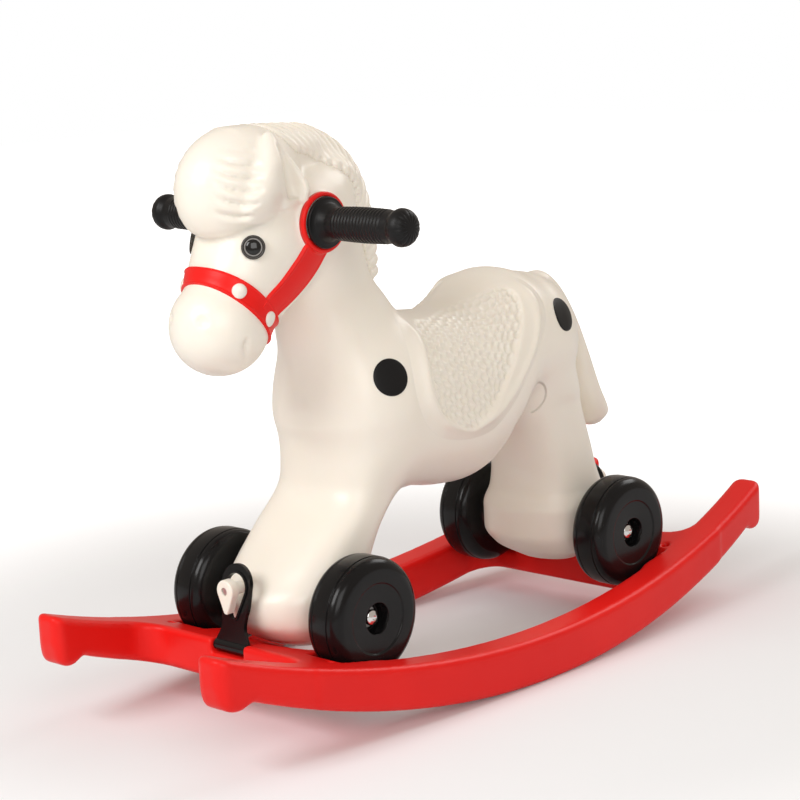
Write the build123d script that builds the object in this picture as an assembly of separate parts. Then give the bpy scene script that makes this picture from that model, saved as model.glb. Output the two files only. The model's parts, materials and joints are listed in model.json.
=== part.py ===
from build123d import *
import math
import os

# Rocking pony on a removable rocker base, in millimetres.
# Frame: X across (the pony's left side is +X), the pony faces -Y, Z up.
# The origin is at the bottom centre: the rockers' lowest line is z = 0 and
# both axles are the same distance from y = 0.

# ---- driving dimensions -------------------------------------------------
wheelbase = 384.0            # front axle to rear axle
track = 188.0                # wheel centre to wheel centre, across
axle_height = 100.0          # axle above the rockers' lowest line
axle_dia = 10.0
running_clearance = 0.05     # radial, between a pin and what turns on it
seat_clearance = 0.3         # between two pieces that rest on each other

wheel_dia = 115.0
wheel_width = 42.0
tread_width = 17.0           # flat band around the wheel
groove_width = 1.2
groove_depth = 0.9
side_radius = 45.0           # where the rounded shoulder meets the side
disc_dia = 66.0              # flat disc in the wheel's outer side
disc_sink = 1.0
hub_well_dia = 30.0
hub_well_depth = 15.5
side_round = 3.0             # how far inside the side's edge the shoulder starts
shoulder_mid_x = 19.0        # a point that the shoulder's curve goes through
shoulder_mid_radius = 50.0
shoulder_drop = 0.6          # shoulder's inner edge, below the tread
shoulder_slope = 0.12        # rise of the shoulder where it meets the tread
disc_lip = 1.5               # width of the slope around the disc
well_draft = 1.0
space_shoulder_x = 6.0       # corners of the space inside, from the wheel's side
space_side_step = 5.0        # and from the side's edge
space_tread_half = 9.0
space_tread_drop = 1.2
wheel_wall = 3.0

cap_dia = 15.4
cap_length = 8.5
cap_end_wall = 2.5
washer_dia = 20.0
washer_thick = 1.2
axle_boss_dia = 24.0
axle_boss_face = 71.3        # from the middle plane

rocker_length = 806.0
rocker_spread = 290.0        # centre line to centre line, at mid length
rocker_toe_in = 33.0         # how far each end comes inwards of that
rocker_width = 36.0
rocker_height = 46.5         # at mid length
rocker_bottom_radius = 1000.0
rocker_top_radius = 1180.0
rocker_wall = 3.0
rocker_edge = 6.0            # rounding along the rockers
rocker_corner = 12.0         # rounding of the ends, seen from above
cross_inner = 215.0          # cross members: nearer edge from mid length
cross_outer = 281.0          # and further edge
junction_radius = 26.0
foot_radius = 18.0           # the stop under each rocker end
foot_bottom = axle_height - 35.0
foot_y = 385.0
base_hole_dia = 8.5
base_hole_wall = 2.5
base_hole_x = 110.0
base_hole_y = 252.0
well_clearance = 2.0         # around each wheel
pan_half_width = 65.0        # oval pan that each pair of hooves stands in
pan_half_length = 55.0
hoof_bottom = axle_height - 38.0

body_wall = 3.0
tunnel_wall = 3.0            # moulded tubes around the axles and the bar

handle_y = -182.0
handle_z = axle_height + 366.0
handle_bar_dia = 12.0
handle_span = 344.0
pad_dia = 54.0               # flat pad on each cheek
pad_face = 58.5              # from the middle plane
halter_ring_dia = 59.0
halter_thick = 1.8
grip_flange_dia = 48.0
grip_flange_thick = 8.0
grip_dia = 33.5
grip_groove_depth = 1.4
grip_ribs = 13
grip_start = 76.0            # first rib, from the middle plane
grip_end_dia = 37.5
grip_end_length = 20.0
grip_end_wall = 8.0          # rubber beyond the bar's end

band_near = 12.5             # noseband edges, along its tilted direction
band_far = 33.0
band_tilt = 43.8             # degrees
strap_width = 20.0
strap_low_y = -243.0         # lower end of a cheek strap
strap_low_z = axle_height + 291.0
rivet_dia = 14.0
rivet_thick = 2.0             # over the band, at the middle
nose_rivet_place = (36.1, -270.5, axle_height + 313.1)
nose_rivet_facing = (0.83, -0.55, 0.05)
cheek_rivet_place = (40.0, -241.2, axle_height + 285.2)
cheek_rivet_facing = (0.916, 0.02, -0.40)

eye_place = (39.5, -253.5, axle_height + 350.7)
eye_facing = (0.757, -0.635, 0.152)
eye_ring_dia = 22.0
eye_ring_thick = 3.0
eye_dia = 15.6
eye_height = 3.6
eye_peg_depth = 12.0
eye_rim = 0.9                # body around the pocket that the ring sits in

spot_dia = 36.0
spot_thick = 1.5
shoulder_spot_place = (71.3, -117.0, axle_height + 211.7)
shoulder_spot_facing = (0.95, -0.26, 0.17)
haunch_spot_place = (67.1, 146.2, axle_height + 234.3)
haunch_spot_facing = (0.92, 0.25, 0.30)

latch_pin_y = 272.0
latch_pin_z = axle_height - 27.5
latch_pin_dia = 4.0
latch_pin_hold = 6.0         # how far the pin goes into the base, each end
latch_barrel_dia = 11.0
latch_foot_width = 43.0
latch_waist_width = 31.0
latch_waist_height = 18.0
latch_ring_width = 38.0
latch_height = 79.5          # from the pin to the top of the ring
latch_eye_top = 70.5         # from the pin to the top of the opening
latch_eye_bottom = 27.0
latch_eye_radius = 13.8
latch_eye_tip_radius = 4.6
latch_thick = 4.0
latch_rim = 1.2              # raised rim around the opening
latch_rim_width = 2.2
latch_lean = 10.0            # degrees, towards the pony
latch_slot_clearance = 1.0
latch_slot_floor = 6.8       # below the pin

knob_z = axle_height + 28.0
knob_radius = 10.8
knob_tip_radius = 3.2
knob_reach = 22.5            # from the screw to the tip
knob_back = 270.4            # from mid length
knob_thick = 8.6
knob_shank_dia = 12.0
knob_boss_dia = 18.0
knob_boss_face = 257.5       # from mid length
knob_boss_root = 236.0
screw_dia = 4.0
screw_head_dia = 7.0
screw_head_height = 2.2
screw_recess_dia = 7.8
screw_recess_depth = 3.4
screw_hold = 14.0            # length inside the boss

# ---- sizes worked out from them ----------------------------------------
half_base = wheelbase / 2
half_track = track / 2
axle_radius = axle_dia / 2
bore_radius = axle_radius + running_clearance
wheel_radius = wheel_dia / 2
half_wheel = wheel_width / 2
half_length = rocker_length / 2
well_floor_x = half_track + half_wheel - hub_well_depth
cap_inner_x = well_floor_x + washer_thick + 2 * seat_clearance
axle_end_x = cap_inner_x + cap_length - cap_end_wall
handle_radius = handle_bar_dia / 2
grip_end_x = handle_span / 2
bar_end_x = grip_end_x - grip_end_wall
noseband_wall = halter_thick + seat_clearance
pan_floor = hoof_bottom - seat_clearance


def save(shape, node, colour):
    """Write one node as a STEP file."""
    shape.color = colour
    export_step(shape, "parts/" + node + ".step")
    print(node, "valid" if shape.is_valid else "NOT VALID", len(shape.solids()), round(shape.volume))


def mirrored(shape):
    """The shape's mirror image across the middle plane."""
    return shape.mirror(Plane.YZ)


def bar_x(radius, x0, x1, y, z):
    """Round bar along X."""
    place = Pos((x0 + x1) / 2, y, z) * Rot(0, 90, 0)
    return place * Cylinder(radius, abs(x1 - x0))


def bar_y(radius, y0, y1, x, z):
    """Round bar along Y."""
    place = Pos(x, (y0 + y1) / 2, z) * Rot(90, 0, 0)
    return place * Cylinder(radius, abs(y1 - y0))


def block(x0, x1, y0, y1, z0, z1):
    """Box between two corners."""
    return Pos((x0 + x1) / 2, (y0 + y1) / 2, (z0 + z1) / 2) * Box(x1 - x0, y1 - y0, z1 - z0)


def facing_plane(place, facing):
    """Plane at a place on the pony's side, its normal along the facing."""
    return Plane(origin=place, x_dir=(facing[1], -facing[0], 0), z_dir=facing)


# ---- the pony's moulded shape ------------------------------------------
# Each mass is a loft through rounded sections. A section is
# (y, height over the axles, tilt, half width, half depth, squareness):
# its plane holds X and a direction tilted from +Y towards +Z, and its
# squareness is the exponent of its superellipse, 2 for an ellipse.
torso_sections = [
    (-158, 175, 90, 10, 10, 2.0), (-154, 174, 90, 43, 50, 2.0),
    (-132, 174, 90, 70, 84, 2.2), (-95, 175, 90, 81, 92, 2.3),
    (-50, 173, 90, 83, 88, 2.3), (-10, 167, 90, 82, 89, 2.2),
    (18, 165, 90, 81, 89, 2.2), (46, 172, 90, 80, 91, 2.2),
    (76, 188, 90, 79, 89, 2.2), (110, 205, 90, 78, 79, 2.2),
    (147, 205, 90, 72, 70, 2.2), (180, 204, 90, 57, 61, 2.1),
    (200, 200, 90, 36, 42, 2.0), (206, 198, 90, 10, 12, 2.0),
]
neck_sections = [
    (-92, 180, 10, 77, 74, 2.3), (-105, 232, 12, 62, 62, 2.3),
    (-119, 264, 14, 54, 55, 2.3), (-133, 300, 16, 45, 47, 2.2),
    (-143, 340, 20, 46, 46, 2.2), (-150, 385, 30, 42, 46, 2.1),
    (-158, 420, 35, 18, 22, 2.0),
]
head_sections = [
    (-112, 405, 135, 26, 26, 2.0), (-142, 388, 135, 46, 46, 2.1),
    (-178, 368, 135, 56, 58, 2.2), (-203, 350, 135, 55, 59, 2.2),
    (-226, 328, 135, 50, 55, 2.3), (-243, 308, 135, 45, 48, 2.3),
    (-253, 296, 135, 42, 44, 2.2), (-262, 286, 135, 34, 36, 2.1),
]
crest_sections = [
    (-240, 408, 97, 40, 50, 2.0), (-205, 414, 88, 32, 44, 2.0),
    (-170, 412, 75, 26, 42, 2.0), (-145, 402, 58, 22, 42, 2.0),
    (-120, 388, 38, 20, 37, 2.0), (-105, 362, 18, 18, 34, 2.0),
    (-98, 330, 5, 17, 32, 2.0), (-93, 300, 0, 15, 28, 2.0),
    (-90, 276, 0, 10, 20, 2.0),
]
front_leg_sections = [
    (-92, 165, 0, 70, 54, 2.4), (-110, 128, 0, 66, 48, 2.6),
    (-126, 98, 0, 63, 41, 2.8), (-155, 66, 0, 64, 46, 2.7),
    (-178, 34, 0, 67, 58, 2.3), (-189, 12, 0, 69, 66, 2.2),
    (-191, -8, 0, 69, 62, 2.2), (-191, -26, 0, 61, 46, 2.2),
    (-191, -38, 0, 34, 24, 2.1),
]
rear_leg_sections = [
    (142, 185, 0, 56, 50, 2.2), (148, 165, 0, 60, 54, 2.3),
    (154, 150, 0, 59, 52, 2.4), (160, 134, 0, 56, 49, 2.6),
    (175, 100, 0, 53, 44, 2.8), (183, 70, 0, 54, 45, 2.7),
    (187, 42, 0, 58, 52, 2.5), (189, 20, 0, 68, 64, 2.2),
    (190, -4, 0, 69, 64, 2.2), (190, -24, 0, 62, 48, 2.2),
    (189, -38, 0, 34, 24, 2.1),
]
tail_sections = [
    (192, 252, 60, 15, 9, 2.0), (216, 222, 35, 20, 12, 2.0),
    (236, 172, 18, 24, 14, 2.0), (251, 130, 12, 25, 18, 2.0),
    (264, 104, 15, 20, 19, 2.0), (270, 93, 15, 8, 8, 2.0),
]
ear_sections = [
    (-220, 378, 0, 9, 24, 2.0), (-218, 398, 0, 9, 23, 2.0),
    (-214, 420, 0, 7, 18, 2.0), (-211, 440, 0, 4, 9, 2.0),
    (-210, 450, 0, 1.5, 2.5, 2.0),
]
ear_lean = [46.0, 46.0, 44.0, 40.0, 37.0]     # x of each section of the left ear
muzzle_centre = (-265.0, 277.0)
muzzle_radii = (46.0, 47.0, 46.0)
forelock_centre = (-231.0, 400.0)
forelock_radii = (50.0, 66.0, 59.0)
section_points = 12


def section_wire(section, grow, shift_x):
    """Closed spline through points of one superellipse section."""
    y, z, tilt, half_width, half_depth, squareness = section
    along_y = math.cos(math.radians(tilt))
    along_z = math.sin(math.radians(tilt))
    points = []
    for step in range(section_points):
        angle = 2 * math.pi * step / section_points
        cos_part = math.copysign(abs(math.cos(angle)) ** (2 / squareness), math.cos(angle))
        sin_part = math.copysign(abs(math.sin(angle)) ** (2 / squareness), math.sin(angle))
        across = (half_width + grow) * cos_part
        deep = (half_depth + grow) * sin_part
        points.append(Vector(shift_x + across, y + deep * along_y, axle_height + z + deep * along_z))
    return Wire([Edge.make_spline(points, periodic=True)])


def mass(sections, grow=0.0, shifts=None):
    """Loft through a mass's sections, each grown or, below 0, shrunk."""
    moved = list(sections)
    for end, neighbour in ((0, 1), (-1, -2)):
        dy = sections[neighbour][0] - sections[end][0]
        dz = sections[neighbour][1] - sections[end][1]
        share = -grow / math.hypot(dy, dz)
        place = (sections[end][0] + dy * share, sections[end][1] + dz * share)
        moved[end] = place + tuple(sections[end][2:])
    shifts = shifts or [0.0] * len(sections)
    return Solid.make_loft([section_wire(s, grow, x) for s, x in zip(moved, shifts)])


def egg(centre, radii, grow=0.0):
    """Ellipsoid on the middle plane."""
    across, along, up = [r + grow for r in radii]
    ball = scale(Sphere(1.0), by=(across, along, up))
    return Pos(0, centre[0], axle_height + centre[1]) * ball


def head_masses(grow):
    """The masses that the halter lies on."""
    return [
        mass(head_sections, grow),
        egg(muzzle_centre, muzzle_radii, grow),
    ]


def core_masses(grow):
    """The masses that are hollow."""
    return [
        mass(torso_sections, grow),
        mass(neck_sections, grow),
        mass(front_leg_sections, grow),
        mass(rear_leg_sections, grow),
        egg(forelock_centre, forelock_radii, grow),
    ] + head_masses(grow)


def joined(shapes):
    """One solid from several that overlap."""
    return shapes[0].fuse(*shapes[1:])


eye_plane = facing_plane(eye_place, eye_facing)
eye_peg = eye_plane * Pos(0, 0, -eye_peg_depth / 2) * Cylinder(eye_ring_dia / 2 + eye_rim, eye_peg_depth)
eye_pocket = eye_plane * Pos(0, 0, eye_peg_depth / 2) * Cylinder(eye_ring_dia / 2 + seat_clearance, eye_peg_depth)


def make_body():
    """The pony: a hollow moulding with tubes for the axles and the bar."""
    left_ear = mass(ear_sections, 0.0, ear_lean)
    boss_radius = axle_boss_dia / 2
    pegs = [eye_peg, mirrored(eye_peg)]
    tubes = []
    bores = [eye_pocket, mirrored(eye_pocket)]
    for sign in (-1, 1):
        y = sign * half_base
        pegs.append(bar_y(knob_boss_dia / 2, sign * knob_boss_root, sign * knob_boss_face, 0, knob_z))
        tubes.append(bar_x(bore_radius + tunnel_wall, -axle_boss_face, axle_boss_face, y, axle_height))
        bores.append(bar_x(bore_radius, -axle_boss_face - 1, axle_boss_face + 1, y, axle_height))
        screw_end = sign * (knob_boss_face - screw_hold - 1)
        bores.append(bar_y(screw_dia / 2 + running_clearance, screw_end, sign * (knob_boss_face + 1), 0, knob_z))
    tubes.append(bar_x(handle_radius + tunnel_wall, -pad_face, pad_face, handle_y, handle_z))
    bores.append(bar_x(handle_radius + running_clearance, -pad_face - 1, pad_face + 1, handle_y, handle_z))
    bosses = [
        bar_x(boss_radius, -axle_boss_face, axle_boss_face, -half_base, axle_height),
        bar_x(boss_radius, -axle_boss_face, axle_boss_face, half_base, axle_height),
        bar_x(pad_dia / 2, -pad_face, pad_face, handle_y, handle_z),
    ]
    outside = core_masses(0.0) + [
        mass(crest_sections),
        mass(tail_sections),
        left_ear,
        mirrored(left_ear),
    ]
    form = joined(outside + bosses + pegs)
    print("pony form", form.is_valid, round(form.volume))
    space = joined(core_masses(-body_wall)).cut(*(tubes + pegs))
    print("space inside", space.is_valid, round(space.volume))
    return form.cut(space, *bores)


def rocker_plan(inset):
    """The base seen from above, its outline moved inwards by the inset."""
    outer_mid = rocker_spread / 2 + rocker_width / 2 - inset
    inner_mid = rocker_spread / 2 - rocker_width / 2 + inset
    outer_end = outer_mid - rocker_toe_in
    inner_end = inner_mid - rocker_toe_in
    end_y = half_length - inset
    outer_arc = ThreePointArc((outer_end, -end_y), (outer_mid, 0), (outer_end, end_y))
    inner_arc = ThreePointArc((inner_end, end_y), (inner_mid, 0), (inner_end, -end_y))
    far_end = Line((outer_end, end_y), (inner_end, end_y))
    near_end = Line((inner_end, -end_y), (outer_end, -end_y))
    band = make_face([outer_arc, far_end, inner_arc, near_end])
    band = fillet(band.vertices(), rocker_corner - inset)
    cross_width = cross_outer - cross_inner - 2 * inset
    cross_y = (cross_outer + cross_inner) / 2
    cross = Pos(0, cross_y) * Rectangle(rocker_spread - rocker_width / 2, cross_width)
    plan = band + band.mirror(Plane.YZ) + cross + cross.mirror(Plane.XZ)
    inner_corners = [v for v in plan.vertices() if abs(v.Y) < cross_outer + 5 and abs(v.X) < rocker_spread / 2 - 5]
    inner_corners = [v for v in inner_corners if abs(v.Y) > cross_inner - 5]
    return fillet(inner_corners, junction_radius + inset)


def rocker_side(inset):
    """The base seen from the side, as a bar across its whole width."""
    bottom = rocker_bottom_radius - inset
    top_radius = rocker_top_radius + inset
    reach = half_length + 1
    low = Pos(0, rocker_bottom_radius) * Circle(bottom)
    high = Pos(0, rocker_height + rocker_top_radius) * Circle(top_radius)
    frame = Pos(0, 100) * Rectangle(2 * reach, 200 + 2)
    band = (low & frame) - high
    foot_centre = foot_bottom + foot_radius
    for sign in (-1, 1):
        foot = Pos(sign * foot_y, foot_centre) * Circle(foot_radius - inset)
        band = band + foot
    band = band - (Pos(0, rocker_height + rocker_top_radius) * Circle(top_radius))
    profile = Plane.YZ * band
    return extrude(profile, rocker_spread, both=True)


def make_base():
    """The rocker base: one hollow moulding."""
    outer = extrude(rocker_plan(0.0), 200) & rocker_side(0.0)
    for above in (True, False):
        faces = outer.faces().sort_by(SortBy.AREA)[-2:].sort_by(Axis.Z)
        outer = fillet(faces[1 if above else 0].edges(), rocker_edge)
    space = extrude(rocker_plan(rocker_wall), 200) & rocker_side(rocker_wall)
    cuts = []
    keeps = []
    for sign in (-1, 1):
        pan = Pos(0, sign * half_base, pan_floor) * extrude(Ellipse(pan_half_width, pan_half_length), 60)
        cuts.append(pan)
        pan_wall = Ellipse(pan_half_width + rocker_wall, pan_half_length + rocker_wall)
        keeps.append(Pos(0, sign * half_base, pan_floor - rocker_wall) * extrude(pan_wall, 60))
        inner_x = half_track - half_wheel - well_clearance
        outer_x = half_track + half_wheel + well_clearance
        for side in (-1, 1):
            y = sign * half_base
            radius = wheel_radius + well_clearance
            cuts.append(bar_x(radius, side * inner_x, side * outer_x, y, axle_height))
            keep = bar_x(radius + rocker_wall, side * (inner_x - rocker_wall), side * (outer_x + rocker_wall), y,
                         axle_height)
            keeps.append(keep)
            hole_x = side * base_hole_x
            hole_y = sign * base_hole_y
            cuts.append(Pos(hole_x, hole_y, 50) * Cylinder(base_hole_dia / 2, 100))
            keeps.append(Pos(hole_x, hole_y, 50) * Cylinder(base_hole_dia / 2 + base_hole_wall, 100))
        half_slot = latch_foot_width / 2 + latch_slot_clearance
        slot_back = latch_pin_y - latch_barrel_dia / 2 - latch_slot_clearance
        slot_floor = latch_pin_z - latch_slot_floor
        y0, y1 = sorted((sign * slot_back, sign * (cross_outer + 5)))
        cuts.append(block(-half_slot, half_slot, y0, y1, slot_floor, 120))
        pin_half = latch_foot_width / 2 + latch_pin_hold
        cuts.append(bar_x(latch_pin_dia / 2 + running_clearance, -pin_half - 0.5, pin_half + 0.5,
                          sign * latch_pin_y, latch_pin_z))
        wall = rocker_wall
        y0, y1 = sorted((sign * (slot_back - wall), sign * (cross_outer + 5)))
        keeps.append(block(-pin_half - 2, pin_half + 2, y0, y1, slot_floor - wall, 120))
    space = space.cut(*keeps)
    return outer.cut(space, *cuts)


def wheel_profile():
    """Half section of a wheel, x from its middle plane, outer side at +x."""
    half_tread = tread_width / 2
    tread_edge = half_tread + groove_width
    rim = wheel_radius
    shoulder_top = rim - shoulder_drop
    side_edge = side_radius - side_round
    well_x = half_wheel - hub_well_depth
    tangents = [(0, 1), (1, shoulder_slope)]
    inner_shoulder = Spline(
        [(-half_wheel, side_edge), (-shoulder_mid_x, shoulder_mid_radius), (-tread_edge, shoulder_top)],
        tangents=tangents,
    )
    outer_shoulder = Spline(
        [(tread_edge, shoulder_top), (shoulder_mid_x, shoulder_mid_radius), (half_wheel, side_edge)],
        tangents=[(x, -y) for x, y in reversed(tangents)],
    )
    tread = Polyline([
        (-tread_edge, shoulder_top), (-tread_edge, rim - groove_depth), (-half_tread, rim - groove_depth),
        (-half_tread, rim), (half_tread, rim), (half_tread, rim - groove_depth),
        (tread_edge, rim - groove_depth), (tread_edge, shoulder_top),
    ])
    lip = disc_dia / 2
    side = Polyline([
        (half_wheel, side_edge), (half_wheel, lip + disc_lip), (half_wheel - disc_sink, lip),
        (half_wheel - disc_sink, hub_well_dia / 2), (well_x, hub_well_dia / 2 - well_draft), (well_x, bore_radius),
        (-half_wheel, bore_radius), (-half_wheel, side_edge),
    ])
    return make_face([inner_shoulder, tread, outer_shoulder, side])


def wheel_space_profile():
    """Half section of the space inside a wheel."""
    wall = wheel_wall
    well_x = half_wheel - hub_well_depth
    tube = bore_radius + wall
    side = half_wheel - wall
    shoulder_x = half_wheel - space_shoulder_x
    low = side_radius - space_side_step
    high = side_radius + space_side_step
    rim = wheel_radius - wall - space_tread_drop
    well = hub_well_dia / 2 + wall
    return make_face(Polyline([
        (-side, tube), (-side, low), (-shoulder_x, high), (-space_tread_half, rim), (space_tread_half, rim),
        (shoulder_x, high), (side - disc_sink, low), (side - disc_sink, well), (well_x - wall, well),
        (well_x - wall, tube), (-side, tube),
    ]))


def make_wheel():
    """A hollow wheel on the X axis, its outer side towards +X."""
    solid = revolve(wheel_profile(), Axis.X, 360)
    space = revolve(wheel_space_profile(), Axis.X, 360)
    return solid - space


def make_cap():
    """Domed cap on an axle's end, its open side at x = 0."""
    radius = cap_dia / 2
    inside = axle_radius + running_clearance
    wall_x = cap_length - cap_end_wall
    dome = Spline([(cap_length - 3.5, radius), (cap_length - 1.2, radius - 2.2), (cap_length, radius - 5.2)],
                  tangents=[(1, 0), (0.2, -1)])
    rest = Polyline([
        (cap_length, radius - 5.2), (cap_length - 0.8, 1.2), (cap_length - 0.8, 0), (wall_x, 0), (wall_x, inside),
        (0, inside), (0, radius), (cap_length - 3.5, radius),
    ])
    return revolve(make_face([dome, rest]), Axis.X, 360)


def make_grip():
    """Left handle grip with its flange, ribbed, closed at the outer end."""
    inside = handle_radius + running_clearance
    start = pad_face + halter_thick + 2 * seat_clearance
    flange_end = start + grip_flange_thick
    bulb_start = grip_end_x - grip_end_length
    rib_pitch = (bulb_start - grip_start) / grip_ribs
    radius = grip_dia / 2
    points = [(start, inside), (start, grip_flange_dia / 2 - 1.5), (start + 1.5, grip_flange_dia / 2)]
    points += [(flange_end - 2.5, grip_flange_dia / 2), (flange_end, grip_flange_dia / 2 - 2.5)]
    points += [(flange_end, radius - grip_groove_depth)]
    for rib in range(grip_ribs):
        x = grip_start + rib * rib_pitch
        bulge = radius + 0.8 * math.sin(math.pi * (rib + 0.5) / grip_ribs)
        points += [(x, radius - grip_groove_depth), (x + 0.8, bulge), (x + rib_pitch - 1.6, bulge)]
        points += [(x + rib_pitch - 0.8, radius - grip_groove_depth)]
    bulb = grip_end_dia / 2
    points += [(bulb_start, radius - grip_groove_depth), (bulb_start + 2.5, bulb - 0.8)]
    body = Polyline(points)
    dome = Spline([points[-1], (grip_end_x - 9.0, bulb), (grip_end_x - 2.2, bulb - 6.5), (grip_end_x, 0)],
                  tangents=[(1, 0.25), (0, -1)])
    hole = Polyline([(grip_end_x, 0), (bar_end_x + 0.2, 0), (bar_end_x + 0.2, inside), (start, inside)])
    shape = revolve(make_face([body, dome, hole]), Axis.X, 360)
    return Pos(0, handle_y, handle_z) * shape


def in_band(near, far, tilt, width, z_shift):
    """Slab across X between two distances along a tilted direction."""
    middle = (near + far) / 2
    angle = math.radians(tilt)
    place = Pos(0, middle * math.cos(angle), z_shift + middle * math.sin(angle))
    return place * Rot(tilt, 0, 0) * Box(2 * width, far - near, 1200)


def make_halter():
    """Noseband, cheek straps with rings round the handle's flanges, rivets."""
    over = joined(head_masses(noseband_wall))
    left_ear = mass(ear_sections, seat_clearance, ear_lean)
    crest = mass(crest_sections, seat_clearance)
    under = joined(core_masses(seat_clearance) + [crest, left_ear, mirrored(left_ear)])
    rivet_seat = joined(head_masses(noseband_wall + seat_clearance))
    slab = in_band(band_near, band_far, band_tilt, 80, axle_height)
    parting = in_band(band_near - seat_clearance, band_far + seat_clearance, band_tilt, 80, axle_height)
    noseband = (over & slab) - under
    dy = handle_y - strap_low_y
    dz = handle_z - strap_low_z
    run = math.hypot(dy, dz)
    middle = Pos(45, (handle_y + strap_low_y) / 2, (handle_z + strap_low_z) / 2)
    bar = middle * Rot(math.degrees(math.atan2(dz, dy)), 0, 0) * Box(60, run, strap_width)
    ring_x = pad_face + seat_clearance + halter_thick
    ring = bar_x(halter_ring_dia / 2, 40, ring_x, handle_y, handle_z)
    pad = bar_x(pad_dia / 2 + seat_clearance, 0, pad_face + seat_clearance, handle_y, handle_z)
    hole = bar_x(handle_radius + 2, 0, 80, handle_y, handle_z)
    cheeks = []
    for sided in (lambda shape: shape, mirrored):
        strap = (over & sided(bar)) - parting
        cheeks.append((strap + sided(ring)).cut(under, sided(pad), sided(hole)))
    rivets = []
    for place, facing in ((nose_rivet_place, nose_rivet_facing), (cheek_rivet_place, cheek_rivet_facing)):
        plane = facing_plane(place, facing)
        head = plane * Pos(0, 0, noseband_wall + rivet_thick / 2) * Cylinder(rivet_dia / 2, rivet_thick)
        rivet = head.cut(rivet_seat, under).solids().sort_by(SortBy.VOLUME)[-1]
        rivets += [rivet, mirrored(rivet)]
    return noseband, cheeks, rivets


def make_latch():
    """Front latch in its own frame: hinge on X, plate upright, front at -Y."""
    half_foot = latch_foot_width / 2
    half_waist = latch_waist_width / 2
    half_ring = latch_ring_width / 2
    ring_centre = latch_eye_top - latch_eye_radius
    points = [
        (half_foot, 0), (half_foot, 5.0), (half_waist, latch_waist_height), (half_waist + 0.5, 30.0),
        (half_ring, ring_centre),
    ]
    right = Polyline(points[:2]) + Spline(points[1:], tangents=[(-0.4, 1), (0, 1)])
    top = ThreePointArc((half_ring, ring_centre), (0, latch_height), (-half_ring, ring_centre))
    left = right.mirror(Plane.YZ)
    foot = Line((-half_foot, 0), (half_foot, 0))
    plate = make_face([foot] + right.edges() + [top] + left.edges())
    opening = teardrop(latch_eye_radius, latch_eye_tip_radius, latch_eye_top - latch_eye_radius,
                       latch_eye_bottom + latch_eye_tip_radius)
    rim = teardrop(latch_eye_radius + latch_rim_width, latch_eye_tip_radius + latch_rim_width,
                   latch_eye_top - latch_eye_radius, latch_eye_bottom + latch_eye_tip_radius)
    slab = extrude(Plane.XZ * plate, latch_thick / 2, both=True)
    raised = Pos(0, -latch_thick / 2, 0) * extrude(Plane.XZ * rim, latch_rim)
    barrel = bar_x(latch_barrel_dia / 2, -half_foot, half_foot, 0, 0)
    hole = extrude(Plane.XZ * opening, 20, both=True)
    pin_hole = bar_x(latch_pin_dia / 2 + running_clearance, -half_foot - 1, half_foot + 1, 0, 0)
    return (slab + raised + barrel).cut(hole, pin_hole)


def teardrop(radius, tip_radius, centre_z, tip_z):
    """Round above, pointed with a small radius below."""
    big = Pos(0, centre_z) * Circle(radius)
    small = Pos(0, tip_z) * Circle(tip_radius)
    return make_hull((big + small).edges())


def make_knob():
    """Front knob at its rest turn, its point down, outer face at -Y."""
    outline = teardrop(knob_radius, knob_tip_radius, 0, -knob_reach + knob_tip_radius)
    plate = Pos(0, -knob_back, 0) * extrude(Plane.XZ * outline, knob_thick)
    front = -knob_back - knob_thick
    outer_edges = plate.edges().filter_by(lambda e: e.center().Y < front + 0.01)
    plate = fillet(outer_edges, 1.8)
    shank = bar_y(knob_shank_dia / 2, -knob_back - 0.1, -knob_boss_face - seat_clearance, 0, 0)
    bore = bar_y(screw_dia / 2 + running_clearance, -knob_back - 20, -knob_boss_face, 0, 0)
    recess = bar_y(screw_recess_dia / 2, front - 1, front + screw_recess_depth, 0, 0)
    return Pos(0, 0, knob_z) * (plate + shank).cut(bore, recess)


def make_screw():
    """Screw that holds the front knob."""
    head_back = -knob_back - knob_thick + screw_recess_depth - 0.1
    head = bar_y(screw_head_dia / 2, head_back - screw_head_height, head_back, 0, knob_z)
    shank = bar_y(screw_dia / 2, head_back - 0.1, -knob_boss_face + screw_hold, 0, knob_z)
    return head + shank


def latch_in_place(shape):
    """The front latch leaning at its pin."""
    return Pos(0, -latch_pin_y, latch_pin_z) * Rot(-latch_lean, 0, 0) * shape


def make_spot(place, facing, under, over):
    """A round spot that follows the side it lies on."""
    rod = facing_plane(place, facing) * Cylinder(spot_dia / 2, 40)
    return (rod & over) - under



cream = Color(0.93, 0.89, 0.80)
red = Color(0.84, 0.07, 0.06)
black = Color(0.04, 0.04, 0.045)
grey = Color(0.45, 0.45, 0.44)
steel = Color(0.72, 0.72, 0.73)

os.makedirs("parts", exist_ok=True)

# ---- the moulding and the base ----
save(make_body(), "horse_body", cream)
save(make_base(), "rocker_base", red)

# ---- axles, wheels, caps and washers ----
wheel = make_wheel()
cap = make_cap()
inner_washer_x = axle_boss_face + 0.2
outer_washer_x = well_floor_x + seat_clearance
washers = []
for name, sign in (("front", -1), ("rear", 1)):
    y = sign * half_base
    save(bar_x(axle_radius, -axle_end_x, axle_end_x, y, axle_height), "axle_" + name, steel)
    for side_name, side in (("left", 1), ("right", -1)):
        turned = wheel if side > 0 else mirrored(wheel)
        save(Pos(side * half_track, y, axle_height) * turned, "wheel_" + name + "_" + side_name, black)
        closed = cap if side > 0 else mirrored(cap)
        save(Pos(side * cap_inner_x, y, axle_height) * closed, "axle_cap_" + name + "_" + side_name, steel)
        for start in (inner_washer_x, outer_washer_x):
            ring = bar_x(washer_dia / 2, side * start, side * (start + washer_thick), y, axle_height)
            hole = bar_x(bore_radius, side * (start - 1), side * (start + washer_thick + 1), y, axle_height)
            washers.append(ring - hole)
save(Compound(washers), "axle_washers", steel)

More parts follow.
